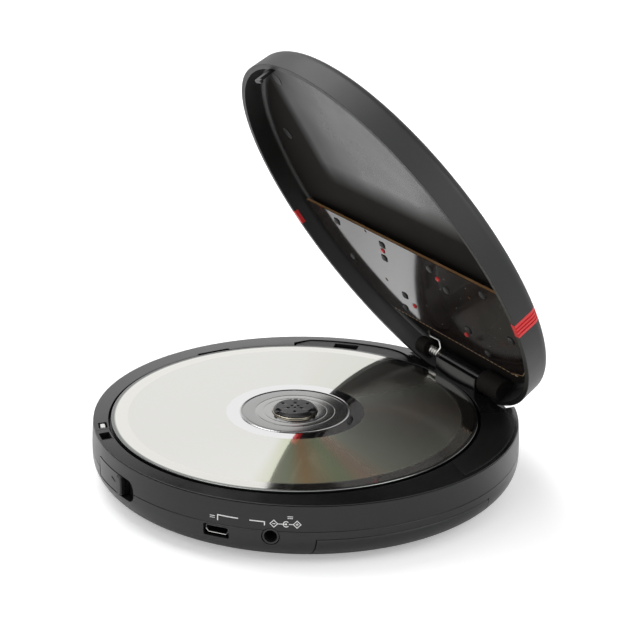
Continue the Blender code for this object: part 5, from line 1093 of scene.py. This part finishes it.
def makeSockets():
    size, level = socketSizes, caseSizes["jackLevel"]
    far = wallRadiusAt(caseSizes["usbLevel"]) - 1.1
    shell = slab(rounded(size["shell"], closed=True), far - 5.4, far)
    hollow = slab(rounded(size["hollow"], closed=True), far - 5.05, far + 1)
    tongue = slab(size["tongue"], far - 5.2, far - 1.6)
    body = carved(shell, [("cut", hollow), ("add", tongue)])
    lip = joined(slab([(-2.75, -1.2), (2.75, -1.2), (2.85, -1.0), (-2.85, -1.0)], far - 0.8, far + 0.02),
                 slab([(-3.7, -0.1), (-3.5, -0.1), (-2.8, -1.0), (-2.95, -1.15)], far - 0.5, far + 0.02))
    # drawn looking along the wall's normal, then turned to face outwards
    outwards = Matrix(((0, 0, 1, 0), (1, 0, 0, 0), (0, 1, 0, 0), (0, 0, 0, 1)))
    turn = Matrix.Rotation(math.radians(caseSizes["usbBearing"]), 4, "Z")
    place = Matrix.Translation((0, 0, caseSizes["usbLevel"])) @ turn @ outwards
    for part in (body, lip):
        bmesh.ops.transform(part, matrix=place, verts=part.verts)
    # the USB shell is painted dark steel as painted shade inside its opening, and the lip strip along its mouth
    # bright steel as a painted highlight
    finished(softened(body, 0.06), "usbFine", "case", "socketSteel", "usb_socket")
    finished(lip, "usbLip", "case", "brightSteel")
    far = wallRadiusAt(level) - 0.25
    for name, bore in size["bores"]:
        bearing = caseSizes[name + "Bearing"]
        body = slab(radialBox(bearing, far - 9.7, far - 3.7, 7.2), 6.0, 11.4)
        steps = [("add", softened(radialBar(bearing, level, far - 5, far, 2.6, 48), 0.22, 3)),
                 ("cut", radialBar(bearing, level, far - 7.7, far + 1, bore, 40))]
        finished(carved(body, steps), name + "JackFine", "case", "jackBlack", name + "_jack")


# A drawn line as one flat outline per stretch
def strokes(points, width):
    outlines = []
    for start, end in zip(points, points[1:]):
        run = (Vector(end) - Vector(start)).normalized() * width / 2
        side = Vector((-run.y, run.x))
        first, last = Vector(start) - run, Vector(end) + run
        outlines.append([tuple(spot) for spot in (first - side, last - side, last + side, first + side)])
    return outlines


def alongWall(bearing):
    return math.radians(bearing + 44) * 70


# Generic socket signs, drawn flat as (along the wall, up) and printed on it
def makeWallSigns():
    lines = [([(alongWall(-50.5), 12.0), (alongWall(-50.5), 13.6), (alongWall(-45.4), 13.5)], 0.32),
             ([(alongWall(-42.3), 13.45), (alongWall(-38.75), 13.4), (alongWall(-38.75), 12.45)], 0.32)]
    for bearing, level in ((-51.9, 12.75), (-32.6, 15.15)):
        middle = alongWall(bearing)
        lines.append(([(middle - 0.7, level + 0.3), (middle + 0.7, level + 0.3)], 0.2))
        for shift in (-0.55, 0.0, 0.55):
            dash = [(middle + shift + half, level - 0.25) for half in (-0.12, 0.12)]
            lines.append((dash, 0.2))
    level, reach = 13.05, 1.12
    left, middle, right = alongWall(-36.5), alongWall(-33.6), alongWall(-30.95)
    for centre in (left, right):
        lines.append(([(centre - reach, level), (centre, level + reach), (centre + reach, level),
                       (centre, level - reach), (centre - reach, level)], 0.22))
        lines.append(([(centre - 0.34, level), (centre + 0.34, level)], 0.2))
    lines.append(([(right, level - 0.34), (right, level + 0.34)], 0.2))
    lines.append(([(left + 1.25, level), (middle - 0.1, level)], 0.22))
    lines.append(([(middle + 0.95, level), (right - 1.25, level)], 0.22))
    ring, dot = [[(middle + x + 0.05, level + z) for x, z in (polar(radius, turn) for turn in turns)]
                 for radius, turns in ((0.85, range(50, 311, 26)), (0.3, range(0, 360, 45)))]
    lines.append((ring, 0.24))
    outlines = [outline for points, width in lines for outline in strokes(points, width)] + [dot]
    patches = [upright(outline, -0.05, 0.05 + 0.002 * (number % 5)) for number, outline in enumerate(outlines)]
    signs = wrapped(joined(*patches), -44, 1.0, 0.37, wallRadiusAt)
    finished(signs, "wallSigns", "case", "printWhite")


makeDisc()
makeHub()
makeSockets()
makeWallSigns()
refined("latch_hook", "lid", "deckBlack", 0.15)
refined("lid_switch_peg", "switch_peg", "pegWhite", 0.25)
for name in ("hinge_pin_left", "hinge_pin_right"):
    refined(name, "case", "brightSteel", 0.08)
for number in range(1, 5):
    refined(f"case_screw_{number}", "case", "screwBlack", 0.08)
print("disc, hub, sockets and signs made")

studioLook = {
    "background": 1.0, "ambient": 0.54, "floor": 0.86, "floorGlow": 0.34, "floorLevel": -1.2,
    # place, size and power of each lamp
    "lamps": (((-0.56, -0.12, 1.05), 0.8, 8.4), ((0.75, 0.55, 0.75), 0.6, 3.2), ((0.25, -0.9, 0.8), 0.7, 2.8)),
}
white = (1, 1, 1, 1)


# What mirrors see of the studio: a low white sheet behind, a dark gap over it, white above and at the front
def mirroredSky(link):
    x, y, z = link.make("TexCoord").parts()
    low, top = 1 - z.rise(0.448, 0.492), z.rise(0.93, 0.975)
    front = (x * 0.874 - y * 0.486).rise(-0.05, 0.25)
    card = ((x * -0.485 + y * 0.875) / (x * x + y * y) ** 0.5).rise(0.982, 0.992)
    bright = low.most(top).most(front).most(card * (1 - z.rise(0.62, 0.66)))
    return (bright * 0.93 + 0.07).clamp()


# An empty node tree and, as the light path tells, whether a ray is seen, glossy or let through
def emptyTree(owner):
    owner.use_nodes = True
    owner.node_tree.nodes.clear()
    link = Link(owner.node_tree)
    return link, [link.make("LightPath", output=output) for output in (0, 3, 6)]


def makeWorld():
    world = bpy.data.worlds.new("studio")
    bpy.context.scene.world = world
    link, (seen, glossy, through) = emptyTree(world)
    plain, plainWhite, sky = [link.make("Background", (white, strength)) for strength in
                              (studioLook["ambient"], studioLook["background"], mirroredSky(link))]
    mirrored = link.make("MixShader", (glossy, plain, sky))
    both = link.make("MixShader", ((seen + through).clamp(), mirrored, plainWhite))
    link.make("OutputWorld", (both,))


def makeFloor():
    shape = bmesh.new()
    bmesh.ops.create_grid(shape, x_segments=1, y_segments=1, size=4.0)
    floor = looseObject(shape, "floor")
    floor.location = (0, 0, studioLook["floorLevel"] * mm)
    paper = bpy.data.materials.new("paper")
    link, (seen, glossy, _) = emptyTree(paper)
    # the paper glows for mirrored rays, faintly everywhere and more close beside and behind the case, a glowing
    # patch that brightens the case's wall in its reflection; for the camera it glows evenly
    x, y, _ = link.make("TexCoord", output=3).parts()
    behind = (y * 0.485 - x * 0.875).rise(-0.045, 0.0) * (1 - (x * x + y * y).rise(0.010, 0.019))
    glowing = seen * studioLook["floorGlow"] + glossy * (0.02 + behind * 0.42)
    dull = link.make("BsdfDiffuse", ((*[studioLook["floor"]] * 3, 1),))
    lit = link.make("AddShader", (dull, link.make("Emission", (white, glowing))))
    both = link.make("MixShader", ((seen + glossy).clamp(), dull, lit))
    link.make("OutputMaterial", (both,))
    floor.data.materials.append(paper)


def makeLamps():
    for number, (place, size, power) in enumerate(studioLook["lamps"]):
        lamp = bpy.data.lights.new(f"softbox{number}", "AREA")
        lamp.shape = "SQUARE"
        lamp.size = size
        lamp.energy = power
        holder = bpy.data.objects.new(f"softbox{number}", lamp)
        holder.location = place
        aim = Vector((0, 0, 0.03)) - Vector(place)
        holder.rotation_euler = aim.to_track_quat("-Z", "Y").to_euler()
        bpy.context.collection.objects.link(holder)


cameraLook = {
    "place": (0.424552, -0.236321, 0.227509), "lens": 89.906, "sensor": 36,
    "right": (0.48927, 0.87202, 0.01387), "up": (-0.30437, 0.15583, 0.93972),
    "forward": (-0.81730, 0.46400, -0.34166),
}


def makeCamera():
    lens = bpy.data.cameras.new("photoCamera")
    lens.sensor_width = cameraLook["sensor"]
    lens.lens = cameraLook["lens"]
    lens.clip_start = 0.01
    lens.clip_end = 50
    camera = bpy.data.objects.new("photoCamera", lens)
    bpy.context.collection.objects.link(camera)
    right, up, forward = (Vector(cameraLook[name]) for name in ("right", "up", "forward"))
    turn = Matrix((right, up, -forward)).transposed().to_4x4()
    camera.matrix_world = Matrix.Translation(cameraLook["place"]) @ turn
    bpy.context.scene.camera = camera


makeWorld()
makeFloor()
makeLamps()
makeCamera()
bpy.context.scene.view_settings.view_transform = "Standard"
print("studio and camera ready")
